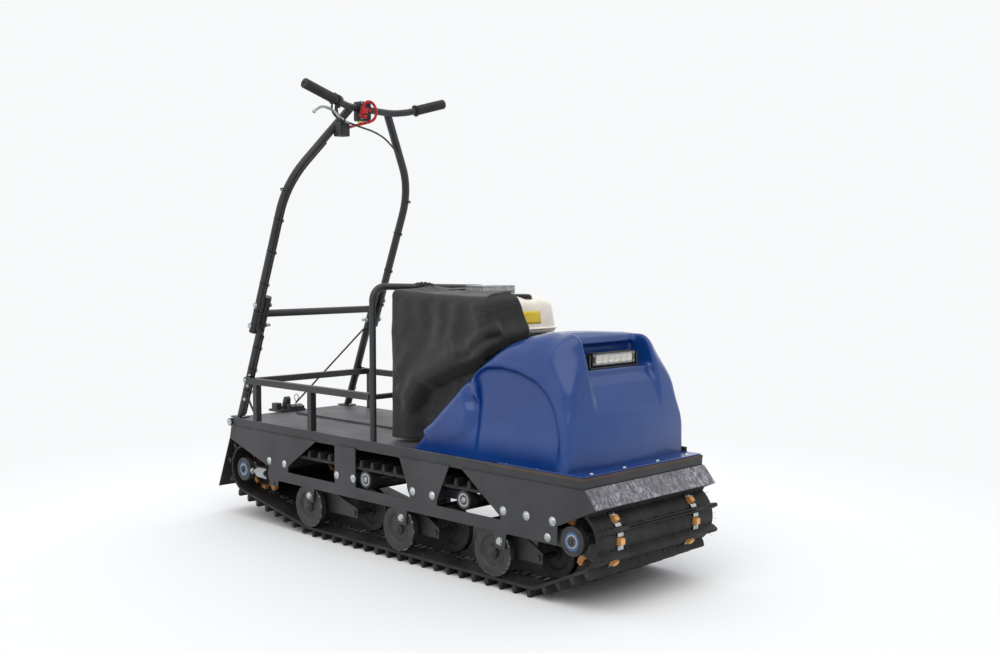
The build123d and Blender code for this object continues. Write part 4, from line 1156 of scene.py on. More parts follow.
def make_track_fittings():
    clips, ribs, ends = Builder(), Builder(), Builder()
    for i in range(WINDOWS):
        at = FIRST_WINDOW + i * PITCH
        for side in (-WINDOW_Y, WINDOW_Y):
            for way in (-1, 1):
                belt_prism(clips, at, [(way * a, o) for a, o in CLIP], side - 11, side + 11)
        at += PITCH / 2
        for y in (-184, -134, -67, 0, 67, 134, 184):
            for way in (-1, 1):
                gusset = [
                    (way * across, high)
                    for across, high in ((7.0, 7.6), (11.2, 7.6), (10.2, 9.0), (5.4, 19.0), (4.2, 19.0))
                ]
                belt_prism(ribs, at, gusset, y - 2.6, y + 2.6)
        # A bead runs along the top of each lug, and knobs close its ends
        for span in ((-241.5, -178), (-142, 142), (178, 241.5)):
            belt_prism(ribs, at, [(-3.4, 28.2), (3.4, 28.2), (2.4, 29.0), (-2.4, 29.0)], *span)
        for y0, y1 in ((-EDGE - 2.2, -EDGE + 1), (EDGE - 1, EDGE + 2.2)):
            knob = [(-6.5, 9), (-7.5, 14), (-5.6, 21), (-3.4, 27), (3.4, 27), (5.6, 21), (7.5, 14), (6.5, 9)]
            belt_prism(ends, at, knob, y0, y1)
            rod_x, rod_z = on_belt(at, 0, 4)
            way = 1 if y1 > 0 else -1
            m = along((rod_x, way * EDGE, rod_z), (0, way, 0))
            ends.lathe([(0, 0.9), (2.0, 0.8), (2.6, 0), (2.6, -1)], m, 10)
    clips = clips.finish("track_clips", M["zinc"], 30)
    ribs = ribs.finish("track_lug_ribs", M["track_rubber"], 30)
    ends = ends.finish("track_lug_ends", M["track_rubber"], 40, bevel=0.8)
    # Threads of the carcass hang out along both worn edges
    rng = np.random.default_rng(11)
    threads = Builder()
    for _ in range(330):
        at = rng.uniform(0, LOOP)
        side = rng.choice((-1, 1))
        root_x, root_z = on_belt(at, 0, rng.uniform(1, 12))
        lean, rise = rng.uniform(-5, 5), rng.uniform(2, 12)
        mid_x, mid_z = on_belt(at, lean * 0.5, 8 + rise * 0.6)
        tip_x, tip_z = on_belt(at, lean, 9 + rise * 1.4)
        y = side * (EDGE - 0.5)
        threads.tube(
            [
                (root_x, y, root_z), (mid_x, y + side * rng.uniform(1, 3), mid_z),
                (tip_x, y + side * rng.uniform(1, 4), tip_z),
            ],
            [0.55, 0.45, 0.15], 4)
    threads = threads.finish("track_threads", M["track_rubber"], 60)
    for piece in (clips, ribs, ends, threads):
        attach(piece, "chassis")


make_track_fittings()


# Bolts, bearing faces and wheel hubs

DOME = [(0, 6.4), (3.4, 6.0), (6.6, 4.9), (9.2, 3.1), (10.2, 1.9), (10.3, 1.5), (12.0, 1.4), (12.2, 0)]


def dome_bolt(b, at, way, size=1.0):
    b.lathe([(r * size, h * size) for r, h in DOME], along(at, way), 20)


def hex_bolt(b, at, way, across=8.0, height=5.6, washer=11.0):
    """A washer and a chamfered six-sided head."""
    m = along(at, way)
    b.lathe([(0, 1.8), (washer - 0.6, 1.8), (washer, 1.3), (washer, 0)], m, 24)
    top = height + 1.2
    b.lathe([(across * 1.12, 1.6), (across * 1.15, height), (across * 0.98, top), (0, top)], m, 6)


def make_fasteners():
    bolts, dark, dull, housing, caps = Builder(), Builder(), Builder(), Builder(), Builder()
    for side in (-1, 1):
        for x in (-546, -462, -188, -108, 163, 246, 525, 609, 700):
            dome_bolt(bolts, (x, side * 250, 216), (0, side, 0))
        dome_bolt(bolts, (683, side * 250, 172), (0, side, 0), 0.92)
        for x in (-329, 113, 511):
            hex_bolt(bolts, (x, side * 250, 132), (0, side, 0))
        for x in (-346, 89, 474):
            m = along((x, side * 243, 96.5), (0, side, 0))
            caps.lathe(
                [(0, 6.4), (8, 6.2), (11.6, 5.0), (13.4, 3.0), (14, 1.8), (18.6, 1.6), (19.4, 0)], m, 32)
        for x, z in ((762, 174), (-701, 168)):
            m = along((x, side * 248, z), (0, side, 0))
            dull.lathe([(12.4, 0), (12.4, 1.3), (17.0, 1.3), (17.8, 0.6), (17.8, 0)], m, 40)
            dark.lathe([(0, 3.6), (12.2, 3.6), (13.2, 3.0), (13.4, 1.0)], m, 28)
            dark.lathe([(6.4, 3.4), (6.4, 7.0), (5.6, 7.8), (0, 7.8)], m, 6)
            for k in range(4):
                a = math.radians(45 + 90 * k)
                dark.lathe(
                    [(0, 2.6), (2.2, 2.4), (2.8, 1.9)],
                    m @ Matrix.Translation((30.5 * math.cos(a), 30.5 * math.sin(a), 0)), 10)
        # Ring housings; the rear one is drawn back by a worn rod and fork
        for x, z in ((762, 174), (-701, 168)):
            housing.lathe(
                [(23.6, -22), (23.6, 0.4), (29, 0.4), (30, -0.6), (33, -0.6), (34, 0.4), (36.6, 0.4),
                 (38.4, -1.2),
                 (38.4, -20), (36, -22), (23.6, -22)], along((x, side * 248, z), (0, side, 0)), 48)
        housing.box((590, 735), sorted((side * 226, side * 234)), (150, 196))
        rod = [(-664 + k * 2.2, side * 241, 168) for k in range(18)]
        dull.tube(rod, [6.4 if k % 2 else 7.2 for k in range(18)], 14)
        nut = along((-656, side * 241, 168), (1, 0, 0))
        dull.lathe([(6, 0), (10.6, 0), (11.2, 1), (11.2, 8), (10.4, 9), (6, 9)], nut, 6)
        fork = [
            (-632, 158), (-622, 153), (-572, 151), (-572, 156), (-584, 161), (-590, 168), (-584, 175),
            (-572, 180),
            (-572, 185), (-622, 183), (-632, 178),
        ]
        dull.prism(
            [(x, -z) for x, z in fork], 12,
            Matrix.Translation((0, side * 241 - 6, 0)) @ Matrix.Rotation(math.radians(-90), 4, "X"))
        housing.box((-646, -560), sorted((side * 226, side * 234)), (152, 184))
        # Support wheels show their bearings
        for x in (-61, 363):
            m = along((x, side * 240, 220.7 - 6 * (762 - x) / 1463), (0, side, 0))
            dull.lathe([(13.5, 0), (14, 1.4), (19.5, 1.4), (20, 0)], m, 36)
            dark.lathe([(21, 0), (21.6, 1.8), (25.4, 1.8), (26, 0)], m, 36)
            dull.lathe([(0, 3.2), (5.2, 3.2), (6.4, 2.6), (8.0, 1.2), (8.4, 0)], m, 24)
            dark.lathe([(8, 0.5), (14, 0.5)], m, 36)
    bolts = bolts.finish("side_bolts", M["zinc"], 40)
    dark = dark.finish("hub_caps", M["dark_steel"], 40)
    dull = dull.finish("bearing_rings", M["guard"], 40)
    housing = housing.finish("ring_housings", M["cast"], 40, bevel=0.6)
    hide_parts("rear_bearing_housings", "front_bearing_housings")
    caps = caps.finish("roller_caps", M["wheel_polymer"], 40)
    worn = Builder()
    for side in (-1, 1):
        for x in (-346, 89, 474):
            m = along((x, side * 232, 96.5), (0, side, 0))
            worn.lathe(
                [(64.4, 11.0), (65.2, 11.2), (66.4, 9.6), (67.6, 8.4), (67.65, 6.4), (67.2, 6.3)], m, 72)
    worn = worn.finish("worn_rims", M["worn_rim"], 40)
    for piece, name in (
        (bolts, "zinc_steel"), (dark, "zinc_steel"), (dull, "zinc_steel"), (housing, "cast_housing"),
        (worn, "wheel_polymer"), (caps, "wheel_polymer"),
    ):
        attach(piece, "chassis")


make_fasteners()


# Work lamp


def make_lamp():
    """A light bar: finned body, bezel, six cells behind the glass, end caps."""
    body, cells, leds, steel = Builder(), Builder(), Builder(), Builder()
    body.box((672, 682), (-86, 86), (599, 628))
    for k in range(29):
        y = -84 + 6 * k
        body.box((668.3, 683), (y - 1.1, y + 1.1), (597, 630))
    body.box((682, 690.5), (-88, 88), (623.5, 630))
    body.box((682, 690.5), (-88, 88), (596, 602.5))
    for side in (-1, 1):
        y = sorted((side * 75, side * 88))
        body.box((670, 691), y, (596, 630))
        for z in (602, 624):
            screw = along((691, side * 82, z), (1, 0, 0))
            steel.lathe([(0, 1.6), (1.6, 1.6), (2.8, 0.6), (2.8, 0)], screw, 12)
    # Bright lines along the bezel, held by small clips
    for z in (599.2, 625.8):
        steel.box((690.2, 691), (-75, 75), (z, z + 1.1))
        for k in range(-2, 3):
            steel.box((688.3, 691.2), (k * 25 - 1.2, k * 25 + 1.2), (z - 0.8, z + 1.9))
    for k in range(6):
        m = along((682.2, -62.5 + 25 * k, 613), (1, 0, 0))
        cells.lathe([(3.6, 0), (6.0, 1.2), (8.4, 3.6), (10.2, 6.4), (11.2, 8.0), (13.4, 8.4)], m, 28)
        leds.box((683.2, 685.2), (-62.5 + 25 * k - 3.2, -62.5 + 25 * k + 3.2), (610, 616))
    cells.box((682.1, 682.6), (-75, 75), (602.5, 623.5))
    for k in range(7):
        y = -75 + 25 * k
        cells.box((682.4, 689.6), (max(y - 0.9, -75), min(y + 0.9, 75)), (602.5, 623.5))
    body = body.finish("lamp_body", M["black_plastic"], bevel=0.5)
    cells = cells.finish("lamp_cells", M["reflector"], 40)
    leds = leds.finish("lamp_leds", M["led"], bevel=0.5)
    steel = steel.finish("lamp_screws", M["zinc"], 40)
    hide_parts("lamp_housing")
    slots = ((body, "black_plastic"), (cells, "zinc_steel"), (leds, "lens"), (steel, "zinc_steel"))
    for piece, name in slots:
        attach(piece, "chassis")


make_lamp()


# Fuel tank, cap and guard


def rounded_plan(x0, x1, y0, y1, r, per=9):
    """Points round a rectangle with rounded corners."""
    out = []
    corners = ((x1 - r, y1 - r, 0), (x0 + r, y1 - r, 90), (x0 + r, y0 + r, 180), (x1 - r, y0 + r, 270))
    for cx, cy, a0 in corners:
        for k in range(per):
            a = math.radians(a0 + 90 * k / (per - 1))
            out.append((cx + r * math.cos(a), cy + r * math.sin(a)))
    return out


# Inset from the seam's outline and height, from the floor of the tank up
TANK_SIDE = [
    (0, 656), (0, 672), (-0.6, 673.2), (-3.6, 674), (-4, 675.4), (-4, 677), (-3.6, 678.4), (0.3, 679.2),
    (1.2, 688), (2.6, 698), (4, 708), (5.2, 718), (6.4, 728), (8, 738), (10.2, 747), (13.5, 753.5),
    (18.5, 758.5), (26, 763), (34, 766.5), (44, 769.5), (58, 771.5), (84, 773),
]


def tank_drop(x, share):
    """The crown runs down towards the front."""
    return 1.5 * share * float(smooth((x - 250) / 134))


def make_tank():
    rings = []
    for inset, z in TANK_SIDE:
        plan = rounded_plan(174 + inset, 384 - inset, -165 + inset, 127 - inset, max(32 - 0.15 * inset, 12))
        share = float(smooth((z - 712) / 60))
        rings.append([(x, y, z - tank_drop(x, share)) for x, y in plan])
    verts = [v for ring in rings for v in ring]
    n = len(rings[0])
    faces = [
        (i * n + k, i * n + (k + 1) % n, (i + 1) * n + (k + 1) % n, (i + 1) * n + k)
        for i in range(len(rings) - 1) for k in range(n)
    ]
    faces.append(list(reversed(range(n))))
    faces.append([(len(rings) - 1) * n + k for k in range(n)])
    tank = mesh_object("tank_shell", verts, faces, M["ivory"])
    shade(tank, 50)
    soft = tank.modifiers.new("soft", "SUBSURF")
    soft.levels = soft.render_levels = 1
    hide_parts("fuel_tank")

    # A blank label on the front face, which leans in
    label = []
    for y in np.linspace(-40, 48, 8):
        for z in np.linspace(691, 727, 6):
            inset = np.interp(z, [h for _, h in TANK_SIDE], [i for i, _ in TANK_SIDE])
            label.append((384.6 - inset, y, z))
    grid = [
        (i * 6 + j, i * 6 + j + 1, (i + 1) * 6 + j + 1, (i + 1) * 6 + j) for i in range(7) for j in range(5)
    ]
    label = mesh_object("tank_label", label, grid, M["yellow"])
    thick = label.modifiers.new("thick", "SOLIDIFY")
    thick.thickness = 0.0005
    thick.offset = 0

    cap = Builder()
    m = Matrix.Translation((334, 20, 761))
    edge = []
    for k in range(144):
        a = 2 * math.pi * k / 144
        r = 26.4 + 1.3 * (k % 4 < 2)
        edge.append((r * math.cos(a), r * math.sin(a)))
    cap.prism(edge, 9.5, m)
    cap.lathe([(24.5, 9), (24.5, 11.6), (23, 13), (14, 13.8), (0, 14)], m, 48)
    cap.lathe([(30, 0), (30, 2.4), (27, 3.4), (20, 3.4)], m, 48)
    cap = cap.finish("tank_cap", M["black_plastic"], 35, bevel=0.4)
    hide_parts("fuel_cap")

    guard = Builder()
    outline = []
    for x0, y0, x1, y1 in ((86, 31, 164, 31), (164, 31, 164, 167), (164, 167, 86, 167), (86, 167, 86, 31)):
        run = math.hypot(x1 - x0, y1 - y0)
        steps = int(run / 2)
        nx, ny = (y1 - y0) / run, -(x1 - x0) / run
        for k in range(steps):
            wave = -1.4 * (1 - math.cos(2 * math.pi * k / 4)) if 3 < k < steps - 3 else 0
            outline.append((x0 + (x1 - x0) * k / steps + nx * wave, y0 + (y1 - y0) * k / steps + ny * wave))
    guard.prism(outline, 128, Matrix.Translation((0, 0, 662)))
    guard.prism(rounded_plan(85, 165, 30, 168, 5, 5), 3.6, Matrix.Translation((0, 0, 790.2)))
    guard = guard.finish("silencer_guard", M["guard"], 50, bevel=0.4)
    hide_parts("muffler_guard")
    slots = ((tank, "ivory_tank"), (label, "ivory_tank"), (cap, "black_plastic"), (guard, "zinc_steel"))
    for piece, name in slots:
        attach(piece, "chassis")


make_tank()


# Engine, seen from the far side and through the opening


def make_engine():
    cast, shroud, black, silver = Builder(), Builder(), Builder(), Builder()
    cast.box((80, 300), (-120, 110), (338, 470))
    cast.box((62, 378), (-130, 130), (337.2, 352))
    cast.box((110, 260), (-90, 100), (470, 560))
    for k in range(11):
        z = 476 + 8 * k
        cast.box((92, 278), (-112, 122), (z, z + 2.6))
    cast.box((118, 252), (-96, 104), (560, 600))
    # Recoil starter and cooling cowl on the far side
    m = along((190, 128, 452), (0, 1, 0))
    shroud.lathe(
        [(0, 0), (104, 0), (108, 6), (108, 24), (100, 32), (74, 35), (70, 40), (30, 43), (0, 43)], m, 56)
    shroud.box((140, 330), (96, 138), (520, 656))
    for k in range(16):
        a = 2 * math.pi * k / 16
        slot_at = m @ Matrix.Rotation(a, 4, "Z") @ Matrix.Translation((86, 0, 33.2))
        black.box((-9, 9), (-3, 3), (0, 1.4), slot_at)
    black.lathe([(0, 44), (22, 44), (24, 42), (24, 36)], m, 32)
    black.box((182, 198), (160, 171), (540, 556))
    black.box((262, 372), (20, 150), (566, 654))
    silver.box((86, 164), (32, 166), (604, 660))
    silver.tube([(150, 60, 540), (140, 70, 580), (128, 80, 612)], 15, 20)
    black.tube([(300, 60, 470), (330, 40, 500), (340, 20, 560)], 9, 16)
    silver.tube([(206, -100, 594), (206, -124, 604), (206, -134, 604)], 8, 16)
    for x in (96, 286):
        for y in (-112, 116):
            silver.lathe([(0, 8), (7, 8), (8, 7), (8, 2), (12, 2), (12, 0)], along((x, y, 352), (0, 0, 1)), 6)
    parts = (
        (cast.finish("engine_casting", M["engine"], bevel=3.0, segments=3), "engine_metal"),
        (shroud.finish("engine_cowl", M["satin_black"], bevel=4.0, segments=3), "satin_black"),
        (black.finish("engine_air_box", M["black_plastic"], bevel=2.0, segments=3), "black_plastic"),
        (silver.finish("engine_exhaust", M["guard"], bevel=1.5), "zinc_steel"),
    )
    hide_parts("engine_block")
    for piece, name in parts:
        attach(piece, "chassis")


make_engine()


# Handle: grips, lever, switches, bolts and cables

LEAN = math.radians(22.2)
FOLD = (-616.2, 655.0)


def lean_point(y, up, ahead=0.0):
    """A point of the leaning handle, measured up from the fold and ahead of it."""
    x = FOLD[0] + up * math.sin(LEAN) + ahead * math.cos(LEAN)
    return (x, y, FOLD[1] + up * math.cos(LEAN) - ahead * math.sin(LEAN))


def flowing(points, per=10):
    """A smooth line through points."""
    pts = [Vector(p) for p in points]
    pts = [2 * pts[0] - pts[1], *pts, 2 * pts[-1] - pts[-2]]
    out = []
    for a, b, c, d in zip(pts, pts[1:], pts[2:], pts[3:]):
        for k in range(per):
            t = k / per
            second, third = 2 * a - 5 * b + 4 * c - d, 3 * b - a - 3 * c + d
            out.append(0.5 * (2 * b + (c - a) * t + second * t ** 2 + third * t ** 3))
    return out + [pts[-2]]


def ride_all(pieces, body):
    for piece, name in pieces:
        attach(piece, body)


# The bar across the top, from the near grip to the far one, which sits lower
BAR = [
    (-288, -282, 1405.5), (-296, -165, 1369.5), (-308, -118, 1358.5), (-319, -76, 1353.5), (-321, 0, 1350),
    (-319, 76, 1347), (-308, 118, 1350), (-296, 165, 1359.5), (-288, 282, 1391),
]


def make_grips():
    b = Builder()
    profile = [(11.3, 0), (18.2, 0), (19.0, 0.9), (19.0, 3.0), (18.0, 4.0), (16.2, 4.6), (15.4, 6.0)]
    for k in range(34):
        s = 7 + 3.2 * k
        profile += [(15.2, s), (15.85, s + 0.8), (15.85, s + 1.9), (15.2, s + 2.7)]
    profile += [(15.4, 116), (15.95, 117.2), (15.95, 121.4), (14.8, 122.8), (5, 122.8), (4.4, 121.4),
        (0, 121.4)]
    for inner, outer in ((BAR[1], BAR[0]), (BAR[-2], BAR[-1])):
        way = (Vector(outer) - Vector(inner)).normalized()
        b.lathe(profile, along(Vector(outer) - way * 120, way), 40)
    grips = b.finish("ribbed_grips", M["grip"], 30)
    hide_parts("handle_grips")
    tube = Builder()
    tube.tube(flowing(BAR, 12), 11, 28)
    bar = tube.finish("bent_bar", M["satin_black"], 60)
    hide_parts("handlebar")
    ride_all([(grips, "grip_rubber"), (bar, "satin_black")], "handle")


def make_lever():
    black, silver = Builder(), Builder()
    black.lathe(
        [(11.4, 0), (16.2, 0), (17, 1), (17, 15), (16.2, 16), (11.4, 16), (11.4, 0)],
        along((-303, -140, 1366), (25, -89, 18)), 32)
    black.box((-6, 6), (-5, 5), (0, 8), along((-303, -145, 1352), (0, -0.1, -1)))
    # Two arms of the perch, and the body that holds the blade and the adjuster
    arm = [
        (-302, -152, 1358), (-302, -153, 1338), (-302.5, -146, 1318), (-302, -132, 1307),
        (-301.5, -121, 1304.6),
    ]
    black.tube(flowing(arm), 5.2, 14)
    brace = [(-303, -166, 1362), (-303, -170, 1344), (-303, -164, 1326), (-302.5, -150, 1313)]
    black.tube(flowing(brace), 3.2, 12)
    pivot = along((-295, -134, 1310), (-1, 0, 0))
    black.lathe([(0, 0), (8, 0), (8.6, 1), (8.6, 12), (8, 13), (0, 13)], pivot, 24)
    bolt_at = along((-292.6, -134, 1310), (-1, 0, 0))
    silver.lathe([(0, 0), (3.6, 0), (3.6, 16.5), (2.4, 18), (0, 18)], bolt_at, 6)
    way = (Vector((-300, -106, 1301)) - Vector((-296, -66, 1291))).normalized()
    barrel = [(0, 0), (3.0, 0), (3.6, 1.5)]
    for k in range(7):
        barrel += [(4.5, 2 + 1.6 * k), (4.5, 3 + 1.6 * k), (4.0, 3.3 + 1.6 * k)]
    silver.lathe([*barrel, (3.2, 13.6), (3.2, 20), (0, 20)], along((-300, -106, 1301), way), 20)
    # The blade is flat, curls away from the bar and ends in a ball
    route = [
        (-299, -132, 1310), (-300, -146, 1317), (-300, -166, 1333), (-300, -190, 1341), (-300, -214, 1341),
        (-300, -240, 1326),
    ]
    line = flowing(route, 8)
    rings = []
    for i, p in enumerate(line):
        ahead = (line[min(i + 1, len(line) - 1)] - line[max(i - 1, 0)]).normalized()
        flat = Vector((1, 0, 0))
        up = ahead.cross(flat).normalized()
        half = 6.2 - 1.6 * i / len(line)
        rings.append([
            tuple(p + flat * half * math.cos(a) + up * 4.2 * math.sin(a))
            for a in (2 * math.pi * k / 16 for k in range(16))
        ])
    verts = [v for ring in rings for v in ring]
    faces = [
        [i * 16 + k, i * 16 + (k + 1) % 16, (i + 1) * 16 + (k + 1) % 16, (i + 1) * 16 + k]
        for i in range(len(rings) - 1) for k in range(16)
    ]
    faces += [list(reversed(range(16))), [(len(rings) - 1) * 16 + k for k in range(16)]]
    silver.add(verts, faces)
    ball = [(6.4 * math.sin(a), -6.4 * math.cos(a)) for a in np.linspace(0, math.pi, 13)]
    ball[0], ball[-1] = (0, -6.4), (0, 6.4)
    silver.lathe(ball, along((-300, -240, 1326), (0, -0.8, -0.5)), 20)
    perch = black.finish("lever_perch", M["black_plastic"], 40, bevel=0.6)
    blade = silver.finish("lever_blade", M["zinc"], 45)
    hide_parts("hand_lever")
    ride_all([(perch, "black_plastic"), (blade, "zinc_steel")], "handle")


def make_switches():
    """Rockers, a push button, the halves' joint and screws of the switch block."""
    red, black, yellow, steel = Builder(), Builder(), Builder(), Builder()
    for y0, y1, z0, z1 in ((-48, -29, 1335, 1353), (-49, -34, 1319, 1330)):
        black.box((-303, -300.6), (y0 - 2, y1 + 2), (z0 - 2, z1 + 2))
        middle = (z0 + z1) / 2
        red.prism(
            [(z0, 0), (middle, 2.2), (z1, 4.8), (z1, -3), (z0, -3)], y1 - y0,
            Matrix.Translation((-300.8, y0, 0)) @
                Matrix(((0, 1, 0, 0), (0, 0, 1, 0), (1, 0, 0, 0), (0, 0, 0, 1))))
    red.lathe([(5.2, -2), (5.2, 2.4), (4.2, 3.2), (0, 3.2)], along((-302, -20, 1346), (1, 0, 0)), 24)
    black.lathe([(7.6, -1), (7.6, 1.2), (6.8, 1.8), (5.4, 1.8)], along((-302, -20, 1346), (1, 0, 0)), 24)
    m = along((-312, -52, 1311), (0.35, -0.1, -1))
    yellow.lathe([(0, -2), (6.0, -2), (6.2, 4), (5.0, 6.4), (0, 7)], m, 24)
    black.lathe([(7.8, -3), (7.8, 1.4), (6.4, 2)], along((-312, -52, 1311), (0.35, -0.1, -1)), 24)
    # The cap that the lanyard ends in, on the switch
    m = along((-305.5, -54, 1326), (0.477, -0.167, 0.863))
    red.lathe([(0, 5.5), (5.2, 5.5), (6.4, 4.2), (6.6, 0), (0, 0)], m, 20)
    m = along((-326.5, -91.5, 1287.6), (-0.4, -0.9, -0.2))
    red.lathe([(0, 6), (3.6, 6), (4.4, 4), (4.4, -4), (0, -4)], m, 16)
    for x0, x1 in ((-340.5, -301.5),):
        black.box((x0, x1), (-35.3, -34.1), (1313, 1373))
    for y in (-52, -17):
        for z in (1318, 1368):
            steel.lathe([(0, 1.5), (1.3, 1.5), (2.4, 0.8), (2.6, 0)], along((-302.6, y, z), (1, 0, 0)), 12)
    for z in (1266, 1298):
        steel.lathe([(0, 1.4), (2.4, 1.0), (2.6, 0)], along((-314.4, -108, z), (1, 0, 0)), 12)
    black.box((-314.6, -312.2), (-122, -96), (1264, 1300))
    ride_all([
        (red.finish("switch_rockers", M["red"], 40, bevel=0.5), "red_plastic"),
        (black.finish("switch_trim", M["black_plastic"], 40, bevel=0.4), "black_plastic"),
        (yellow.finish("push_button", M["yellow"], 40), "red_plastic"),
        (steel.finish("switch_screws", M["zinc"], 40), "zinc_steel"),
    ], "handle")


LOWER_Y, ARCH_Y = 227.0, 255.0


def tie(b, y, up, reach, half, middle):
    """A narrow strap round a tube of the handle and what runs along it."""
    n = 28
    verts = []
    for size, shift in ((0, -2.2), (0, 2.2), (1.1, 2.2), (1.1, -2.2)):
        for k in range(n):
            a = 2 * math.pi * k / n
            verts.append(lean_point(y + (half + size) * math.cos(a), up + shift,
                middle + (reach + size) * math.sin(a)))
    faces = []
    for ring in range(4):
        following = (ring + 1) % 4
        faces += [[ring * n + k, ring * n + (k + 1) % n, following * n + (k + 1) % n,
            following * n + k] for k in range(n)]
    b.add(verts, faces)


def make_handle_details():
    up_dark, low_dark, up_bolts, low_bolts = Builder(), Builder(), Builder(), Builder()
    for side in (-1, 1):
        # The second lap bolt's head rides up with the arch, its nut stays below
        x, _, z = lean_point(0, 73)
        hex_bolt(up_bolts, (x, side * 268, z), (0, side, 0), 7.0, 5.0, 9.5)
        hex_bolt(low_bolts, (x, side * 214, z), (0, -side, 0), 6.4, 5.5, 8.5)
        x, _, z = lean_point(0, 0)
        hex_bolt(low_bolts, (x, side * 214, z), (0, -side, 0), 6.4, 5.5, 8.5)
        for up in (-181, -219, -270):
            p = Vector(lean_point(side * LOWER_Y, up))
            way = Vector((math.cos(LEAN) * 0.72, side * 0.69, -math.sin(LEAN) * 0.72))
            dome_bolt(low_bolts, p + way * 12.8, way, 0.47)
        for x in (-769, -728):
            dome_bolt(low_bolts, (x, side * LOWER_Y, 341), (0, 0, 1), 0.55)
        # Lug that ties the basket's rail to the upright
        lug = [(-664, 456)] + [
            (-692 - 12 * math.sin(a), 468 - 12 * math.cos(a)) for a in np.linspace(0, math.pi, 9)
        ] + [(-664, 480)]
        low_dark.prism(
            [(x, -z) for x, z in lug], 3,
            Matrix.Translation((0, side * 240.6 if side > 0 else -243.6, 0)) @
                Matrix.Rotation(math.radians(-90), 4, "X"))
        hex_bolt(low_bolts, (-692, side * 243.6, 468), (0, side, 0), 5.6, 4.4, 8)
        m = along((-779, side * 252, 320), (0, side, 0))
        low_bolts.lathe([(0, 1.0), (9, 1.0), (11.8, 0.4), (12.4, -1.5)], m, 28)
    for up in (52, 150, 262, 372, 470):
        tie(up_dark, -ARCH_Y, up, 18.9, 13.7, 5.2)
    for up in (-80, -160, -240):
        tie(low_dark, -LOWER_Y, up, 18.9, 13.7, 5.2)
    for up in (60, 190, 330, 450):
        tie(up_dark, ARCH_Y, up, 15.8, 13.9, 1.9)
    # Round caps close the feet of the arch
    for side in (-1, 1):
        up_dark.lathe(
            [(13.2, 6), (13.6, 5), (13.6, -1), (12, -2.6), (0, -3)],
            along(lean_point(side * ARCH_Y, -22), (math.sin(LEAN), 0, math.cos(LEAN))), 28)
    # The near cables leave the upright, curve down and go through the deck
    curve = flowing([
        lean_point(-LOWER_Y, -236, 18.6), lean_point(-LOWER_Y, -262, 20.5), (-690, -225, 386),
            (-679, -220, 362),
        (-671, -217, 345), (-668, -216, 337),
    ], 8)
    low_dark.tube(curve, 3.6, 12)
    low_dark.lathe([(3.6, 5), (6.5, 3.6), (9, 0.6), (9, 0), (0, 0)], along((-668, -216, 337), (0, 0, 1)), 20)
    # A wire loop stands on the hitch's catch
    ring = [
        (-757 + 1.5 * math.sin(a), 9 + 7 * math.sin(a), 371 + 12 - 12 * math.cos(a))
        for a in np.linspace(0.15, 2 * math.pi - 0.15, 24)
    ]
    low_dark.tube(ring, 1.3, 8)
    ride_all([
        (up_dark.finish("arch_ties", M["black_plastic"], 40), "black_plastic"),
        (up_bolts.finish("arch_bolts", M["zinc"], 40), "zinc_steel"),
    ], "handle")
    ride_all([
        (low_dark.finish("rear_fittings", M["satin_black"], 40, bevel=0.4), "satin_black"),
        (low_bolts.finish("rear_bolts", M["zinc"], 40), "zinc_steel"),
    ], "chassis")


def make_crossing_cables():
    """Slack pieces of cable, curved across the place where the handle folds."""
    near = [
        (-ARCH_Y, 11, 18.3), (-ARCH_Y + 1, -2, 20.5), (-243, -17, 23.5), (-LOWER_Y - 1, -32, 20.5),
        (-LOWER_Y, -46, 18.3),
    ]
    far = [(ARCH_Y - 9, 11, 13.7), (244, 0, 15.5), (230, -12, 17.5), (215, -26, 9.0), (210.7, -37, 0)]
    for name, points, radius in (("near_cable_bend", near, 5.0), ("far_cable_bend", far, 3.0)):
        b = Builder()
        b.tube(flowing([lean_point(*p) for p in points], 12), radius, 16)
        piece = b.finish(name, M["sheath"], 60)
        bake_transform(piece)


make_grips()
make_lever()
make_switches()
make_handle_details()
make_crossing_cables()
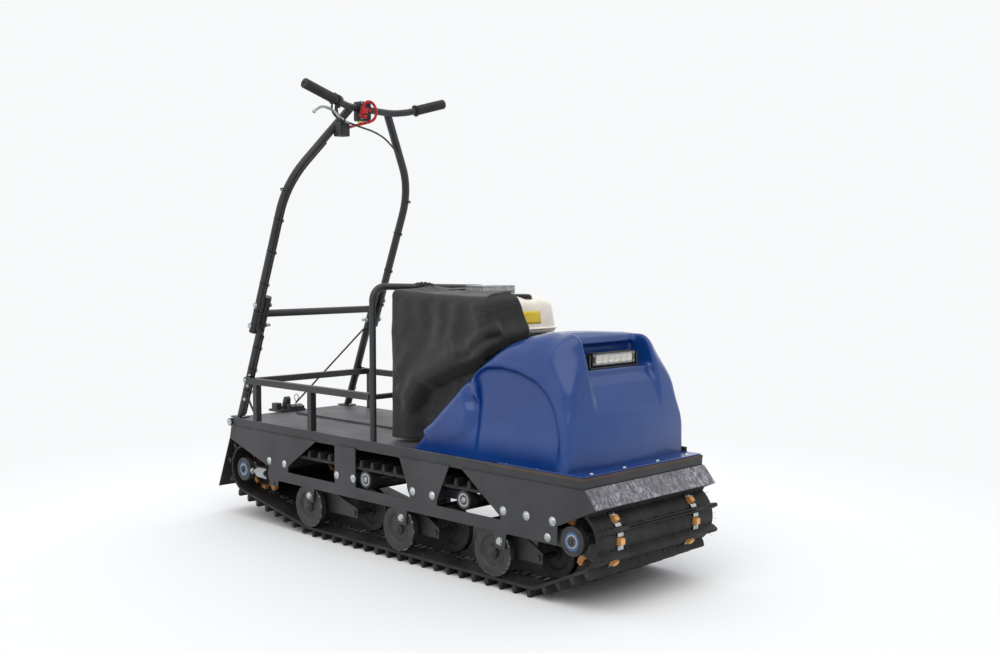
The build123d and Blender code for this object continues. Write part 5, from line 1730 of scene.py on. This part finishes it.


# Edge strip, hood bolts, plate folds, the cover's tie and the rack's hoop


def make_trim():
    brown, bolts, dark = Builder(), Builder(), Builder()
    for side in (-1, 1):
        brown.box((470, 805), sorted((side * 247, side * 248.4)), (329, 337))
    brown.box((804, 805.4), (-247, 247), (329, 337))
    brown = brown.finish("edge_seal", M["brown"], bevel=0.4)
    # Flange bolts of the hood
    for side in (-1, 1):
        for x, y in ((784, 200), (784, 70), (640, 238.5), (530, 238.5)):
            dome_bolt(bolts, (x, side * y, 341), (0, 0, 1), 0.55)
    bolts = bolts.finish("hood_bolts", M["zinc"], 40)
    # Where the side plates fold under the frame's tube
    for side in (-1, 1):
        for x0, x1 in ((-770, -294), (-199, -98), (104, 315), (363, 806)):
            dark.tube([(x0, side * 249.4, 306.6), (x1, side * 249.4, 306.6)], 1.7, 10)
    dark = dark.finish("plate_folds", M["plate_black"], 40)
    # The cover's gathered edge, tied round the hoop
    tie, n = Builder(), 36
    verts = []
    for k in range(27):
        y = -74 + 70 * k / 26
        for j in range(n):
            a = 2 * math.pi * j / n
            frill = 0.5 + 0.5 * math.sin(7 * a + 0.9 * k) * math.cos(3 * a - 0.5 * k)
            r = 10.4 + 6.5 * math.sin(math.pi * (k + 0.5) / 27) ** 0.6 * frill
            verts.append((-24 + r * math.cos(a), y, 790.8 - 0.027 * (y + 120) + r * math.sin(a)))
    tie.add(verts, [
        [k * n + j, k * n + (j + 1) % n, (k + 1) * n + (j + 1) % n, (k + 1) * n + j]
        for k in range(26) for j in range(n)
    ])
    tie = tie.finish("cover_ties", M["cover_fabric"], 60)
    # The hoop behind the engine, bent a little tighter than drawn, and its middle bar
    hoop, bend = Builder(), 42
    near, far = 793.0, 782.0
    line = [(-24, -240, 337), (-24, -240, near - bend)]
    line += [
        (-24, -240 + bend * (1 - math.cos(a)), near - bend * (1 - math.sin(a)))
        for a in np.linspace(0, math.pi / 2, 12)[1:]
    ]
    line += [
        (-24, 240 - bend * (1 - math.cos(a)), far - bend * (1 - math.sin(a)))
        for a in np.linspace(math.pi / 2, 0, 12)
    ]
    line.append((-24, 240, 337))
    hoop.tube(line, 10, 24)
    hoop.tube([(-24, -238, 468), (-24, 238, 468)], 8, 20)
    hoop = hoop.finish("bent_hoop", M["satin_black"], 60)
    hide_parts("rack_hoop")
    for piece, name in (
        (brown, "satin_black"), (bolts, "zinc_steel"), (dark, "satin_black"), (tie, "cover_fabric"),
        (hoop, "satin_black"),
    ):
        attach(piece, "chassis")


make_trim()


studio()
